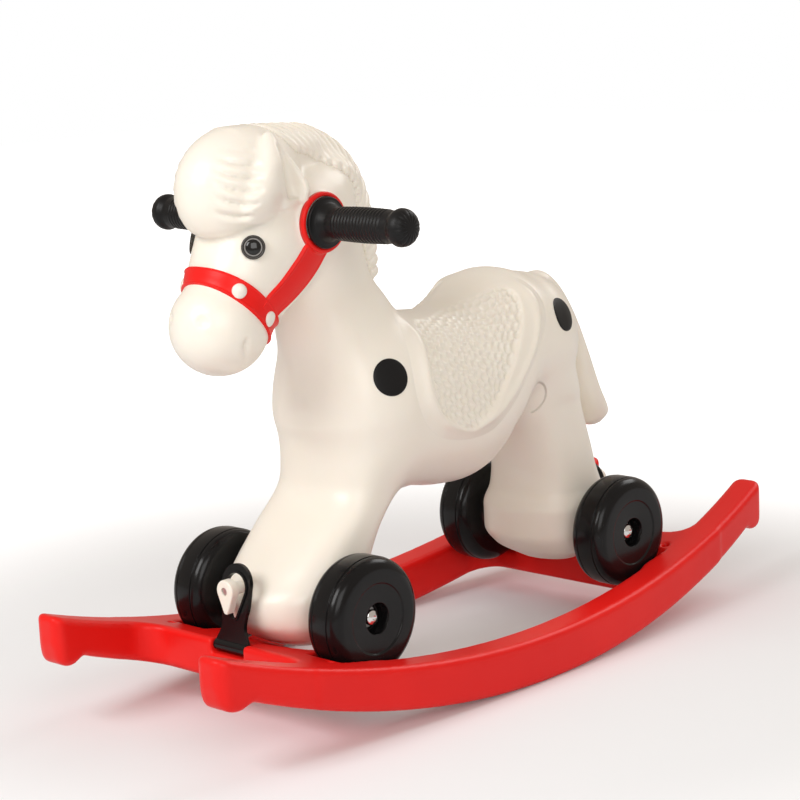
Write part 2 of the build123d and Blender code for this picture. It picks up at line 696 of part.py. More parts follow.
# ---- handle ----
save(bar_x(handle_radius, -bar_end_x, bar_end_x, handle_y, handle_z), "handle_bar", steel)
grip = make_grip()
save(grip, "handle_grip_left", black)
save(mirrored(grip), "handle_grip_right", black)

# ---- halter with its rivets ----
noseband, cheek_straps, rivets = make_halter()
save(noseband, "noseband", red)
save(cheek_straps[0], "cheek_strap_left", red)
save(cheek_straps[1], "cheek_strap_right", red)
save(Compound(rivets), "halter_rivets", cream)

# ---- eyes ----
ring_bottom = seat_clearance
eye_ring = eye_plane * Pos(0, 0, ring_bottom + eye_ring_thick / 2) * (
    Cylinder(eye_ring_dia / 2, eye_ring_thick) - Cylinder(eye_dia / 2 + seat_clearance, eye_ring_thick)
)
eye = eye_plane * Pos(0, 0, ring_bottom + eye_height / 2) * Cylinder(eye_dia / 2, eye_height)
eye = fillet(eye.edges().filter_by(GeomType.CIRCLE), 1.2)
save(eye_ring, "eye_ring_left", grey)
save(mirrored(eye_ring), "eye_ring_right", grey)
save(eye, "eye_left", black)
save(mirrored(eye), "eye_right", black)

# ---- spots ----
spot_names = (
    ("shoulder", shoulder_spot_place, shoulder_spot_facing),
    ("haunch", haunch_spot_place, haunch_spot_facing),
)
under_spot = mass(torso_sections, seat_clearance)
over_spot = mass(torso_sections, seat_clearance + spot_thick)
for name, place, facing in spot_names:
    spot = make_spot(place, facing, under_spot, over_spot)
    save(spot, "spot_" + name + "_left", black)
    save(mirrored(spot), "spot_" + name + "_right", black)

# ---- latches, their pins, and the knobs they hook over ----
latch = latch_in_place(make_latch())
knob = make_knob()
screw = make_screw()
pin_half = latch_foot_width / 2 + latch_pin_hold
for name, sign in (("front", -1), ("rear", 1)):
    turned_latch = latch if sign < 0 else latch.mirror(Plane.XZ)
    turned_knob = knob if sign < 0 else knob.mirror(Plane.XZ)
    turned_screw = screw if sign < 0 else screw.mirror(Plane.XZ)
    save(turned_latch, "latch_" + name, black)
    save(bar_x(latch_pin_dia / 2, -pin_half, pin_half, sign * latch_pin_y, latch_pin_z), "latch_pin_" + name, steel)
    save(turned_knob, "knob_" + name, cream)
    save(turned_screw, "knob_screw_" + name, steel)
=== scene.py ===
import json
import math

import bpy
import numpy as np
import openvdb as vdb
from mathutils import Matrix, Vector

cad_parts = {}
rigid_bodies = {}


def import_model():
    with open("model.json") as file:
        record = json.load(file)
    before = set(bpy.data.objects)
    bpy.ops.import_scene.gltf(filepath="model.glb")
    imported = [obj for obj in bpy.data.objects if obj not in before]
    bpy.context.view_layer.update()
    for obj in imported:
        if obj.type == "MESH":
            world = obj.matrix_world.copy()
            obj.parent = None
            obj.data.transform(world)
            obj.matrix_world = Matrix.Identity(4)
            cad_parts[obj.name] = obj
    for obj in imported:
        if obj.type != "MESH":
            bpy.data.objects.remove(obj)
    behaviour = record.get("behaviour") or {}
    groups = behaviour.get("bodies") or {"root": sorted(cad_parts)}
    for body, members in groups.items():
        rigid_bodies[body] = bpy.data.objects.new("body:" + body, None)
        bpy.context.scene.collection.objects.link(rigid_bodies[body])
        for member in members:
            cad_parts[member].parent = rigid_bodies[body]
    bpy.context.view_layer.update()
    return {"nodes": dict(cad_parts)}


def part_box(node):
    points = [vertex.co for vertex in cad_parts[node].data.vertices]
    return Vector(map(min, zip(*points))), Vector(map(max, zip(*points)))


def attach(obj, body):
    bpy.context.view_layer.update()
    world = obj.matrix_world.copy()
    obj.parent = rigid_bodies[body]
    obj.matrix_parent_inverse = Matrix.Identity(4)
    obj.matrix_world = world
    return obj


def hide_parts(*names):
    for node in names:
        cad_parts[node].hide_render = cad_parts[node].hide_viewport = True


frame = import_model()
print("frame loaded")

mm = 0.001
main = "pony_on_base"


def centreOf(node):
    low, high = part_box(node)
    return (np.array(low) + np.array(high)) / 2


axleHeight = centreOf("axle_front")[2]
handle = centreOf("handle_bar") * (0, 1, 1)
sides = (("left", 1), ("right", -1))


def unit(vectors):
    # each vector divided by its length
    return vectors / np.linalg.norm(vectors, axis=-1, keepdims=True)


def fromAxles(x, y, z):
    # millimetres from the axles' height to metres from the floor
    return np.stack([x * mm, y * mm, z * mm + axleHeight], -1)


# meshes from grids of points

def roundTurn(count):
    # angles spread evenly round a full turn, the last one short of the first
    return np.linspace(0, 2 * np.pi, count, endpoint=False)


def gridQuads(rows, cols, bothWays=False):
    # neighbours on the grid, four corners to a face; the last column joins the first, and so may the last row
    i, j = np.meshgrid(np.arange(rows if bothWays else rows - 1), np.arange(cols), indexing="ij")
    n, k = (i + 1) % rows, (j + 1) % cols
    return np.stack([i * cols + j, i * cols + k, n * cols + k, n * cols + j], -1).reshape(-1, 4)


def meshPiece(name, points, quads, tris=(), smooth=True):
    mesh = bpy.data.meshes.new(name)
    faces = np.asarray(quads, np.int32).reshape(-1, 4)
    extra = np.asarray(tris, np.int32).reshape(-1, 3)
    mesh.vertices.add(len(points))
    mesh.vertices.foreach_set("co", np.asarray(points, np.float32).ravel())
    loops = np.concatenate([faces.ravel(), extra.ravel()])
    starts = np.concatenate([np.arange(len(faces)) * 4, len(faces) * 4 + np.arange(len(extra)) * 3])
    mesh.loops.add(len(loops))
    mesh.loops.foreach_set("vertex_index", loops)
    mesh.polygons.add(len(starts))
    mesh.polygons.foreach_set("loop_start", starts.astype(np.int32))
    mesh.update(calc_edges=True)
    mesh.validate()
    mesh.polygons.foreach_set("use_smooth", np.full(len(mesh.polygons), smooth))
    piece = bpy.data.objects.new(name, mesh)
    bpy.context.scene.collection.objects.link(piece)
    return piece


def orderOf(points, quads):
    # 1 if the faces face outwards and -1 if not: the sign of the sum of the tetrahedra from the origin to
    # each half of each face
    a, b, c, d = (points[quads[:, n]] for n in range(4))
    half = np.einsum("ij,ij->i", a, np.cross(b, c)) + np.einsum("ij,ij->i", a, np.cross(c, d))
    return 1 if half.sum() > 0 else -1


def capped(grid):
    # a grid whose columns close on themselves, with its two ends shut by one point each
    rows, cols = grid.shape[:2]
    points = np.concatenate([grid.reshape(-1, 3), grid[0].mean(0)[None], grid[-1].mean(0)[None]])
    quads = gridQuads(rows, cols)
    j = np.arange(cols)
    k = (j + 1) % cols
    last = (rows - 1) * cols
    first = np.stack([np.full(cols, rows * cols), k, j], -1)
    final = np.stack([np.full(cols, rows * cols + 1), last + j, last + k], -1)
    order = orderOf(points, quads)
    return points, quads[:, ::order], np.concatenate([first, final])[:, ::order]


def closedPiece(name, grid):
    return meshPiece(name, *capped(grid))


def ringPiece(name, grid):
    # a grid closed both ways
    points, quads = grid.reshape(-1, 3), gridQuads(*grid.shape[:2], True)
    return meshPiece(name, points, quads[:, ::orderOf(points, quads)])


def along(t, rows, at):
    # smooth line through the rows of a table: cubic pieces whose slope at each row is the weighted harmonic
    # mean of the slopes beside it, or 0 where these differ in sign, so that the line never overshoots
    rows = np.asarray(rows, float)
    h = np.diff(t)[:, None]
    slope = np.diff(rows, axis=0) / h
    before, after = slope[:-1], slope[1:]
    mean = 3 * (h[:-1] + h[1:]) / ((2 * h[1:] + h[:-1]) / np.where(before == 0, 1, before)
                                   + (h[1:] + 2 * h[:-1]) / np.where(after == 0, 1, after) + 1e-30)
    m = np.concatenate([slope[:1], np.where(before * after > 0, mean, 0), slope[-1:]])
    i = np.clip(np.searchsorted(t, at, side="right") - 1, 0, len(t) - 2)
    s = ((at - t[i]) / (t[i + 1] - t[i]))[:, None]
    d = (t[i + 1] - t[i])[:, None]
    return ((2 * s**3 - 3 * s**2 + 1) * rows[i] + (s**3 - 2 * s**2 + s) * d * m[i]
            + (3 * s**2 - 2 * s**3) * rows[i + 1] + (s**3 - s**2) * d * m[i + 1])


def superCurve(angle, power):
    # cosine and sine with each one's size raised to 2 / power: 2 is an ellipse, more is squarer
    c, s = np.cos(angle), np.sin(angle)
    return np.sign(c) * np.abs(c) ** (2 / power), np.sign(s) * np.abs(s) ** (2 / power)


def loftGrid(sections, rows, cols):
    # one closed rounded section per row; a section is y, height over the axles, tilt, half width,
    # half depth, squareness and x, all in millimetres and degrees, blended along the centre line
    table = np.array([list(s) + [0.0] * (7 - len(s)) for s in sections], float)
    step = np.hypot(*np.diff(table[:, :2], axis=0).T) + 1e-6
    t = np.concatenate([[0], np.cumsum(step)])
    q = along(t, table, np.linspace(0, t[-1], rows))
    angle = roundTurn(cols)[None, :]
    across, deep = superCurve(angle, q[:, 5:6])
    tilt = np.radians(q[:, 2:3])
    x = q[:, 6:7] + q[:, 3:4] * across
    y = q[:, 0:1] + q[:, 4:5] * deep * np.cos(tilt)
    z = q[:, 1:2] + q[:, 4:5] * deep * np.sin(tilt)
    return fromAxles(x, y, z)


def eggGrid(centre, radii):
    # rows from pole to pole along the height, columns round it
    u = np.linspace(0.02, np.pi - 0.02, 40)[:, None]
    v = roundTurn(56)[None, :]
    x = radii[0] * np.sin(u) * np.cos(v)
    y = centre[0] + radii[1] * np.sin(u) * np.sin(v)
    z = centre[1] + radii[2] * np.cos(u) + 0 * v
    return fromAxles(x, y, z)


def spun(profile, cols=96):
    # a profile of (distance along X, radius) turned round the X axis
    p = np.asarray(profile, float)
    v = roundTurn(cols)[None, :]
    return np.stack([p[:, :1] + 0 * v, p[:, 1:] * np.cos(v), p[:, 1:] * np.sin(v)], -1) * mm


def rounded(points, radius, steps=5):
    # an outline with each inner corner replaced by a parabola that starts a radius before it, or 0.45 of
    # its side if that is less
    p = np.asarray(points, float)
    out = [p[:1]]
    for before, here, after in zip(p[:-2], p[1:-1], p[2:]):
        a, b = before - here, after - here
        la, lb = np.hypot(*a) + 1e-9, np.hypot(*b) + 1e-9
        cut = min(radius, la * 0.45, lb * 0.45)
        t = np.linspace(0, 1, steps)[:, None]
        start, end = here + a / la * cut, here + b / lb * cut
        out.append((1 - t) ** 2 * start + 2 * t * (1 - t) * here + t**2 * end)
    out.append(p[-1:])
    return np.concatenate(out)


def turnedTo(grid, place, forward, up=(0, 0, 1)):
    # the grid's X axis laid along forward, its Z axis as near to up as it can be, then moved to the place
    f = unit(np.array(forward, float))
    s = unit(np.cross(up, f))
    return grid @ np.stack([f, s, np.cross(f, s)]) + np.asarray(place, float)


# forms from fields: a field holds each point's distance to a surface, less than 0 inside

class Field:
    def __init__(self, low, high, voxel, band=8):
        self.voxel = voxel
        self.band = band
        self.low = np.floor(np.array(low) / voxel).astype(int) - 3
        self.shape = tuple(np.ceil(np.array(high) / voxel).astype(int) + 4 - self.low)
        self.values = None

    def places(self):
        # x, y and z of the field's points, each along its own axis
        x, y, z = ((self.low[n] + np.arange(self.shape[n])) * self.voxel for n in range(3))
        return x[:, None, None], y[None, :, None], z[None, None, :]

    def ofGrid(self, grid):
        # distances to a closed surface
        points, quads, tris = capped(grid)
        transform = vdb.createLinearTransform(voxelSize=self.voxel)
        level = vdb.FloatGrid.createLevelSetFromPolygons(
            points.astype(np.float32), triangles=tris.astype(np.uint32), quads=quads.astype(np.uint32),
            transform=transform, halfWidth=self.band)
        out = np.empty(self.shape, np.float32)
        level.copyToArray(out, ijk=tuple(int(v) for v in self.low))
        return out

    def add(self, other, blend):
        # the smaller distance of the two, rounded where they are within the blend of each other
        if self.values is None:
            self.values = other
            return
        h = np.clip(0.5 + 0.5 * (other - self.values) / blend, 0, 1)
        self.values = other * (1 - h) + self.values * h - blend * h * (1 - h)

    def carve(self, other, blend):
        # takes the other form away, by joining it to all that is outside this one
        self.values = -self.values
        self.add(other, blend)
        self.values = -self.values

    def at(self, points):
        # the field between its grid points, by straight lines along each axis
        p = points / self.voxel - self.low
        i = np.clip(np.floor(p).astype(int), 0, np.array(self.shape) - 2)
        f = np.clip(p - i, 0, 1)
        total = 0
        for corner in range(8):
            c = np.array([corner & 1, corner >> 1 & 1, corner >> 2 & 1])
            weight = np.prod(np.where(c, f, 1 - f), axis=-1)
            total = total + weight * self.values[i[..., 0] + c[0], i[..., 1] + c[1], i[..., 2] + c[2]]
        return total

    def normalAt(self, points):
        # the way the field grows, from its values a little to each side
        step = self.voxel
        slope = [self.at(points + np.eye(3)[n] * step) - self.at(points - np.eye(3)[n] * step) for n in range(3)]
        slope = np.stack(slope, -1)
        return slope / (np.linalg.norm(slope, axis=-1, keepdims=True) + 1e-12)

    def skin(self, start, direction, reach=0.12, step=0.0012):
        # where each straight line from start first leaves the form
        found = np.zeros(start.shape[:-1])
        within = np.ones(start.shape[:-1], bool)
        for s in np.arange(step, reach, step):
            within = within & (self.at(start + direction * s) < 0)
            found = np.where(within, s, found)
        low, high = found, found + step
        for _ in range(7):
            middle = (low + high) / 2
            inside = self.at(start + direction * middle[..., None]) < 0
            low, high = np.where(inside, middle, low), np.where(inside, high, middle)
        return start + direction * ((low + high) / 2)[..., None]

    def surface(self):
        # the field's zero surface as points and faces
        level = vdb.FloatGrid()
        level.transform = vdb.createLinearTransform(voxelSize=self.voxel)
        level.copyFromArray(np.ascontiguousarray(self.values, np.float32), ijk=tuple(int(v) for v in self.low))
        points, quads = level.convertToQuads(0.0)
        quads = quads.astype(np.int64)
        return points.astype(float), quads[:, ::orderOf(points, quads)]


def smoothStep(low, high, value):
    # 0 below low, 1 above high, 3 t squared less 2 t cubed between them
    t = np.clip((value - low) / (high - low), 0, 1)
    return t * t * (3 - 2 * t)


# materials

def newMaterial(name, colour, rough, specular=0.5, metal=0.0):
    material = bpy.data.materials.new(name)
    material.use_nodes = True
    shader = material.node_tree.nodes["Principled BSDF"]
    for socket, value in (("Base Color", (*colour, 1)), ("Roughness", rough), ("Metallic", metal),
                          ("Specular IOR Level", specular)):
        shader.inputs[socket].default_value = value
    return material, material.node_tree, shader


def node(tree, kind, feeds={}, **settings):
    # a new node with its settings, and a value or a link for each of its inputs
    made = tree.nodes.new(kind)
    for key, value in settings.items():
        setattr(made, key, value)
    for socket, value in feeds.items():
        if isinstance(value, bpy.types.NodeSocket):
            tree.links.new(value, made.inputs[socket])
        else:
            made.inputs[socket].default_value = value
    return made


def calc(tree, operation, *values):
    return node(tree, "ShaderNodeMath", dict(enumerate(values)), operation=operation).outputs[0]


def placeIn(tree):
    return node(tree, "ShaderNodeTexCoord").outputs["Object"]


def noiseOn(tree, scale, detail=3.0):
    feeds = {"Vector": placeIn(tree), "Scale": scale, "Detail": detail, "Roughness": 0.5}
    return node(tree, "ShaderNodeTexNoise", feeds).outputs["Fac"]


def mixColour(tree, factor, first, second):
    feeds = {"Factor": factor, 6: (*first, 1), 7: (*second, 1)}
    return node(tree, "ShaderNodeMix", feeds, data_type="RGBA").outputs[2]


def ramp(tree, value, low, high):
    # a smooth step from 0 at low to 1 at high
    feeds = {"Value": value, "From Min": low, "From Max": high}
    return node(tree, "ShaderNodeMapRange", feeds, interpolation_type="SMOOTHSTEP").outputs["Result"]


def bumpOn(tree, shader, height, distance):
    # one more layer of relief on top of those the shader already has
    bump = node(tree, "ShaderNodeBump", {"Height": height, "Distance": distance, "Strength": 1.0})
    normal = shader.inputs["Normal"]
    if normal.is_linked:
        tree.links.new(normal.links[0].from_socket, bump.inputs["Normal"])
    tree.links.new(bump.outputs["Normal"], normal)


# sizes of the noise that clouds the colour and the gloss and waves the skin, and heights in metres
moulded = {"cloud": 9.0, "cloudFrom": 0.3, "cloudTo": 0.75, "gloss": 38.0, "glossSpread": 0.12, "waves": 55.0,
           "grain": 900.0, "grainHeight": 0.00002}


def mouldedPlastic(name, colour, darker, rough, waviness=0.00012, specular=0.5):
    # moulded plastic: faint cloudiness of colour and gloss, slow waves and a fine grain in the skin
    material, tree, shader = newMaterial(name, colour, rough, specular)
    cloud = ramp(tree, noiseOn(tree, moulded["cloud"]), moulded["cloudFrom"], moulded["cloudTo"])
    tree.links.new(mixColour(tree, cloud, colour, darker), shader.inputs["Base Color"])
    spread = moulded["glossSpread"]
    gloss = calc(tree, "MULTIPLY_ADD", noiseOn(tree, moulded["gloss"], 4.0), spread, rough - spread / 2)
    tree.links.new(gloss, shader.inputs["Roughness"])
    bumpOn(tree, shader, noiseOn(tree, moulded["waves"], 2.0), waviness)
    bumpOn(tree, shader, noiseOn(tree, moulded["grain"], 2.0), moulded["grainHeight"])
    return material, tree, shader


# the pony's body

# voxel and the smaller clay sizes are in metres; the tables are in millimetres from the axles' height
ponyBody = {"voxel": 0.0023, "chestBlend": 0.016, "hindBlend": 0.009, "tailBlend": 0.008, "headBlend": 0.007,
            "hairBlend": 0.006, "earBlend": 0.006, "flapBlend": 0.003, "rimBlend": 0.0025,
            "earHollowBlend": 0.003, "creaseBlend": 0.003, "nostrilBlend": 0.004, "topRoom": 0.003}
# the handle's pad, whose field is cut off nearer the middle than its inner face
pad = {"radius": 27.0, "face": 57.9, "inner": 0.02, "blend": 0.004}
eye = {"facing": (0.757, -0.635, 0.152), "socket": 0.0113, "socketDeep": 0.0015, "socketBlend": 0.0015}
torso = [(-158, 175, 90, 10, 10, 2), (-154, 174, 90, 43, 50, 2), (-132, 174, 90, 70, 84, 2.2),
         (-95, 175, 90, 81, 92, 2.3), (-50, 173, 90, 83, 88, 2.3), (-10, 167, 90, 82, 89, 2.2),
         (18, 165, 90, 81, 89, 2.2), (46, 172, 90, 80, 91, 2.2), (76, 192, 90, 79, 85, 2.2),
         (110, 213, 90, 77, 71, 2.2), (147, 205, 90, 72, 70, 2.2), (180, 204, 90, 57, 61, 2.1),
         (200, 200, 90, 36, 42, 2), (206, 198, 90, 10, 12, 2)]
neck = [(-92, 118, 10, 20, 16, 2), (-92, 146, 10, 58, 52, 2.2), (-92, 180, 10, 77, 74, 2.3),
        (-105, 232, 12, 62, 62, 2.3), (-119, 264, 14, 54, 55, 2.3), (-133, 300, 16, 45, 47, 2.2),
        (-143, 340, 20, 46, 46, 2.2), (-150, 385, 30, 42, 46, 2.1), (-158, 420, 35, 18, 22, 2)]
head = [(-112, 405, 135, 26, 26, 2), (-142, 388, 135, 46, 46, 2.1), (-178, 368, 135, 56, 58, 2.2),
        (-203, 350, 135, 55, 59, 2.2), (-226, 328, 135, 50, 55, 2.3), (-243, 308, 135, 45, 48, 2.3),
        (-253, 296, 135, 42, 44, 2.2), (-262, 286, 135, 34, 36, 2.1)]
crest = [(-240, 408, 97, 40, 50, 2), (-205, 414, 88, 32, 44, 2), (-170, 412, 75, 26, 42, 2),
         (-145, 402, 58, 22, 42, 2), (-120, 388, 38, 20, 37, 2), (-105, 362, 18, 18, 34, 2),
         (-98, 330, 5, 17, 32, 2), (-93, 300, 0, 15, 28, 2), (-90, 276, 0, 10, 20, 2)]
foreleg = [(-88, 215, 0, 20, 16, 2), (-90, 195, 0, 56, 42, 2.2), (-92, 165, 0, 70, 54, 2.4),
           (-110, 128, 0, 66, 48, 2.6), (-126, 98, 0, 63, 41, 2.8), (-155, 66, 0, 64, 46, 2.7),
           (-178, 34, 0, 67, 58, 2.3), (-189, 12, 0, 69, 66, 2.2), (-191, -8, 0, 69, 62, 2.2),
           (-191, -26, 0, 61, 46, 2.2), (-191, -38, 0, 34, 24, 2.1)]
hindLeg = [(140, 225, 0, 16, 14, 2), (141, 208, 0, 42, 38, 2.1), (142, 185, 0, 60, 50, 2.2),
           (148, 165, 0, 63, 54, 2.3), (154, 150, 0, 61, 52, 2.4), (160, 134, 0, 56, 49, 2.6),
           (175, 100, 0, 53, 44, 2.8), (183, 70, 0, 54, 45, 2.7), (187, 42, 0, 58, 52, 2.5),
           (189, 20, 0, 68, 64, 2.2), (190, -4, 0, 69, 64, 2.2), (190, -24, 0, 62, 48, 2.2),
           (189, -38, 0, 34, 24, 2.1)]
tail = [(170, 262, 78, 9, 5, 2), (181, 262, 70, 14, 9, 2), (193, 254, 60, 17, 11, 2), (216, 222, 35, 20, 12, 2),
        (236, 172, 18, 24, 14, 2), (251, 130, 12, 25, 18, 2), (266, 103, 15, 21, 20, 2), (271, 92, 15, 9, 9, 2)]
earLobe = [(-246, 372, 0, 4, 12, 2, 40), (-245, 384, 0, 9, 19, 2, 43), (-241, 400, 0, 13, 19, 2, 45.5),
           (-234, 420, 0, 13, 15.5, 2, 44), (-227, 438, 0, 10, 10.5, 2, 39.5), (-222, 452, 0, 3, 4, 2, 34)]
earFlap = [(-212, 382, 0, 5, 13, 2, 47), (-213, 400, 0, 8, 18, 2, 48), (-217, 420, 0, 7, 12, 2, 44),
           (-222, 440, 0, 3, 5, 2, 38)]
earHollow = [(-221, 441, 0, 4, 2.5, 2, 48), (-217, 425, 0, 10, 6, 2, 53), (-213, 404, 0, 13, 9.5, 2, 57),
             (-212, 391, 0, 9, 8, 2, 57)]
earRim = [(-221, 446, 0, 3, 3, 2, 37), (-212, 431, 0, 4, 3.5, 2, 43), (-203, 413, 0, 4.6, 4, 2, 50),
          (-199, 397, 0, 5.2, 4.6, 2, 54.5), (-201, 387, 0, 3.4, 3.4, 2, 53)]
mouthCrease = [(-272, 270, 0, 1.5, 1.5, 2, 43.5), (-272, 263, 0, 3, 2.6, 2, 43), (-269, 252, 0, 3, 2.6, 2, 40),
               (-264, 242, 0, 1.5, 1.5, 2, 35)]
muzzleCentre, muzzleRadii = (-265, 277), (46, 47, 46)
forelockCentre, forelockRadii = (-231, 400), (50, 66, 59)
# plane through a point of the side view (y, z) that rises this many degrees towards the back
forelockCut = {"y": -285, "z": 352, "rise": 21, "round": 14, "blend": 4}
nostril = {"centre": (24, -306, 289), "radii": (6.5, 5, 4.5)}


def discField(space, centre, facing, radius, deep):
    # a round pocket: distance to a straight-sided cylinder from deep below the centre to well above it
    f = unit(np.array(facing, float))
    x, y, z = (axis - c for axis, c in zip(space.places(), centre))
    height = x * f[0] + y * f[1] + z * f[2]
    out = np.sqrt(np.maximum(x * x + y * y + z * z - height * height, 0)) - radius
    return np.maximum(out, -height - deep).astype(np.float32)


bodyLow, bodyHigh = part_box("horse_body")


def underTop(points):
    # eases the last part below the moulding's top, so that nothing stands above it: the height left over a
    # level becomes 0.9 of the room times (1 less e to the minus height by room)
    room = ponyBody["topRoom"]
    level = bodyHigh[2] - room
    over = np.maximum(points[:, 2] - level, 0)
    eased = np.minimum(points[:, 2], level) + 0.9 * room * (1 - np.exp(-over / room))
    return np.column_stack([points[:, :2], eased])


def onSide(table, side):
    # the same sections with their middles moved to the left (1) or to the right (-1)
    return [row[:6] + (side * row[6],) for row in table]


clay = Field(bodyLow, bodyHigh, ponyBody["voxel"])
for table, rows, cols, blend in ((torso, 120, 96, "chest"), (neck, 100, 96, "chest"), (foreleg, 100, 96, "chest"),
                                 (hindLeg, 100, 96, "hind"), (tail, 60, 64, "tail"), (head, 90, 96, "head")):
    clay.add(clay.ofGrid(loftGrid(table, rows, cols)), ponyBody[blend + "Blend"])
clay.add(clay.ofGrid(eggGrid(muzzleCentre, muzzleRadii)), ponyBody["headBlend"])
clay.add(clay.ofGrid(loftGrid(crest, 90, 80)), ponyBody["hairBlend"])
# the forelock is an egg cut off below a plane that rises towards the back, with a rounded edge
rise = math.radians(forelockCut["rise"])
x, y, z = clay.places()
below = (y - forelockCut["y"] * mm) * math.sin(rise) - (z - axleHeight - forelockCut["z"] * mm) * math.cos(rise)
lock = clay.ofGrid(eggGrid(forelockCentre, forelockRadii))
edge = forelockCut["round"] * mm
gap = np.maximum(edge - np.abs(lock - below), 0) ** 2 / (4 * edge)
clay.add((np.maximum(lock, below) + gap).astype(np.float32), forelockCut["blend"] * mm)
for side in (1, -1):
    middle = np.where(side * x < pad["inner"], pad["inner"], 0).astype(np.float32)
    padPlace = (side * pad["face"] * mm, handle[1], handle[2])
    clay.add(discField(clay, padPlace, (-side, 0, 0), pad["radius"] * mm, 0.0) + middle, pad["blend"])
    for table, blend in ((earFlap, "flap"), (earLobe, "ear"), (earRim, "rim")):
        clay.add(clay.ofGrid(loftGrid(onSide(table, side), 50, 48)), ponyBody[blend + "Blend"])
    for table, cols, blend in ((earHollow, 48, "earHollow"), (mouthCrease, 32, "crease")):
        clay.carve(clay.ofGrid(loftGrid(onSide(table, side), 50, cols)), ponyBody[blend + "Blend"])
    hole = eggGrid(nostril["centre"][1:], nostril["radii"])
    hole[..., 0] += side * nostril["centre"][0] * mm
    clay.carve(clay.ofGrid(hole), ponyBody["nostrilBlend"])
for name, side in sides:
    facing = np.array(eye["facing"]) * (side, 1, 1)
    clay.carve(discField(clay, centreOf("eye_ring_" + name), facing, eye["socket"], eye["socketDeep"]),
               eye["socketBlend"])
print("body field filled")

# outlines run along the pony (first number, millimetres) and round it from the top (second, degrees)
saddle = {"rise": 3.4, "panelDrop": 3.8, "edge": 8.5, "pitch": 9.8, "dimple": 3.2, "rimRoll": 2.6, "rimAt": 8.5,
          "rimWide": 5.5, "bodyDrop": 4.2, "sunk": 0.8, "below": 0.005, "front": -118, "back": 126, "round": 119}
saddleOutline = [(-99, 0), (-96, 18), (-86, 27), (-78, 36), (-80, 48), (-85, 64), (-87, 77), (-83, 88), (-73, 97),
                 (-58, 105), (-38, 108), (-14, 107), (10, 105), (37, 98), (61, 93), (80, 88), (93, 81), (102, 72),
                 (107, 60), (107, 48), (102, 30), (98, 14), (97, 0)]
panelOutline = [(-51, 27), (-64, 41), (-71, 59), (-73, 76), (-64, 92), (-52, 99), (-39, 103), (-20, 105),
                (-6, 104), (17, 93), (40, 81), (62, 70), (79, 59), (88, 44), (85, 30), (70, 24), (51, 19),
                (36, 12), (24, 9), (8, 12), (-12, 20), (-34, 26)]


def outlineDistance(run, around, outline, twoSided, reach):
    # distance to a closed outline, less than 0 inside it
    p = np.array(outline, float)
    if twoSided:
        p = np.concatenate([p, (p * (1, -1))[::-1][1:-1]])
    p[:, 1] = np.radians(p[:, 1]) * reach
    # corners cut off twice, so that the outline runs smoothly
    for _ in range(2):
        after = np.roll(p, -1, axis=0)
        p = np.stack([0.75 * p + 0.25 * after, 0.25 * p + 0.75 * after], axis=1).reshape(-1, 2)
    best = np.full(run.shape, 1e9)
    inside = np.zeros(run.shape, bool)
    for a, b in zip(p, np.roll(p, -1, axis=0)):
        e = b - a
        u, v = run - a[0], around - a[1]
        t = np.clip((u * e[0] + v * e[1]) / (e @ e), 0, 1)
        best = np.minimum(best, np.hypot(u - t * e[0], v - t * e[1]))
        crossing = (a[1] > around) != (b[1] > around)
        inside ^= crossing & (u < v * e[0] / (e[1] if e[1] else 1e-9))
    return np.where(inside, -best, best)


points, quads = clay.surface()
# forelock waves: soft ridges across the side of the forelock that rise and fade towards the front
wave = {"pitch": 11.5, "depth": 5.0, "low": 374, "high": 428, "back": -250, "lean": 0.25, "leanFrom": 432,
        "fade": 44, "curl": 0.011, "level": 0.75}
px, py, pz = points[:, 0] / mm, points[:, 1] / mm, (points[:, 2] - axleHeight) / mm
behind = wave["back"] - wave["lean"] * (wave["leanFrom"] - pz)
ahead = np.maximum(behind - py, 0)
height = pz - wave["curl"] * ahead**2
ridge = np.abs(np.sin(np.pi * height / wave["pitch"])) ** 0.8
mask = smoothStep(wave["low"] - 6, wave["low"] + 4, height) * smoothStep(wave["high"] + 22, wave["high"] - 12, height)
mask *= smoothStep(wave["fade"], 8, ahead) * smoothStep(8, 0, py - behind) * smoothStep(18, 34, np.abs(px))
points = points + clay.normalAt(points) * ((ridge - wave["level"]) * wave["depth"] * mask * mm)[:, None]
# the moulding sinks under the saddle, so that the dimples stay clear of it
reach = 88.0  # millimetres round the back to one radian
torsoTable = np.array(torso)
torsoAt = along(torsoTable[:, 0], torsoTable[:, [1, 3, 4]], py)
outward, upward = px / torsoAt[:, 1], (pz - torsoAt[:, 0]) / torsoAt[:, 2]
aroundBack, fromMiddle = np.arctan2(outward, upward), np.hypot(outward, upward)
covered = smoothStep(2.0, 6.0, -outlineDistance(py, aroundBack * reach, saddleOutline, True, reach))
covered *= smoothStep(1.16, 1.08, fromMiddle) * smoothStep(0.8, 0.88, fromMiddle)
points = points - clay.normalAt(points) * (saddle["bodyDrop"] * covered * mm)[:, None]
body = meshPiece("ponyBody", underTop(points), quads)
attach(body, main)
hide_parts("horse_body")
print("body surface made")


# the saddle: one sheet over the back with a rolled rim and two dimpled panels

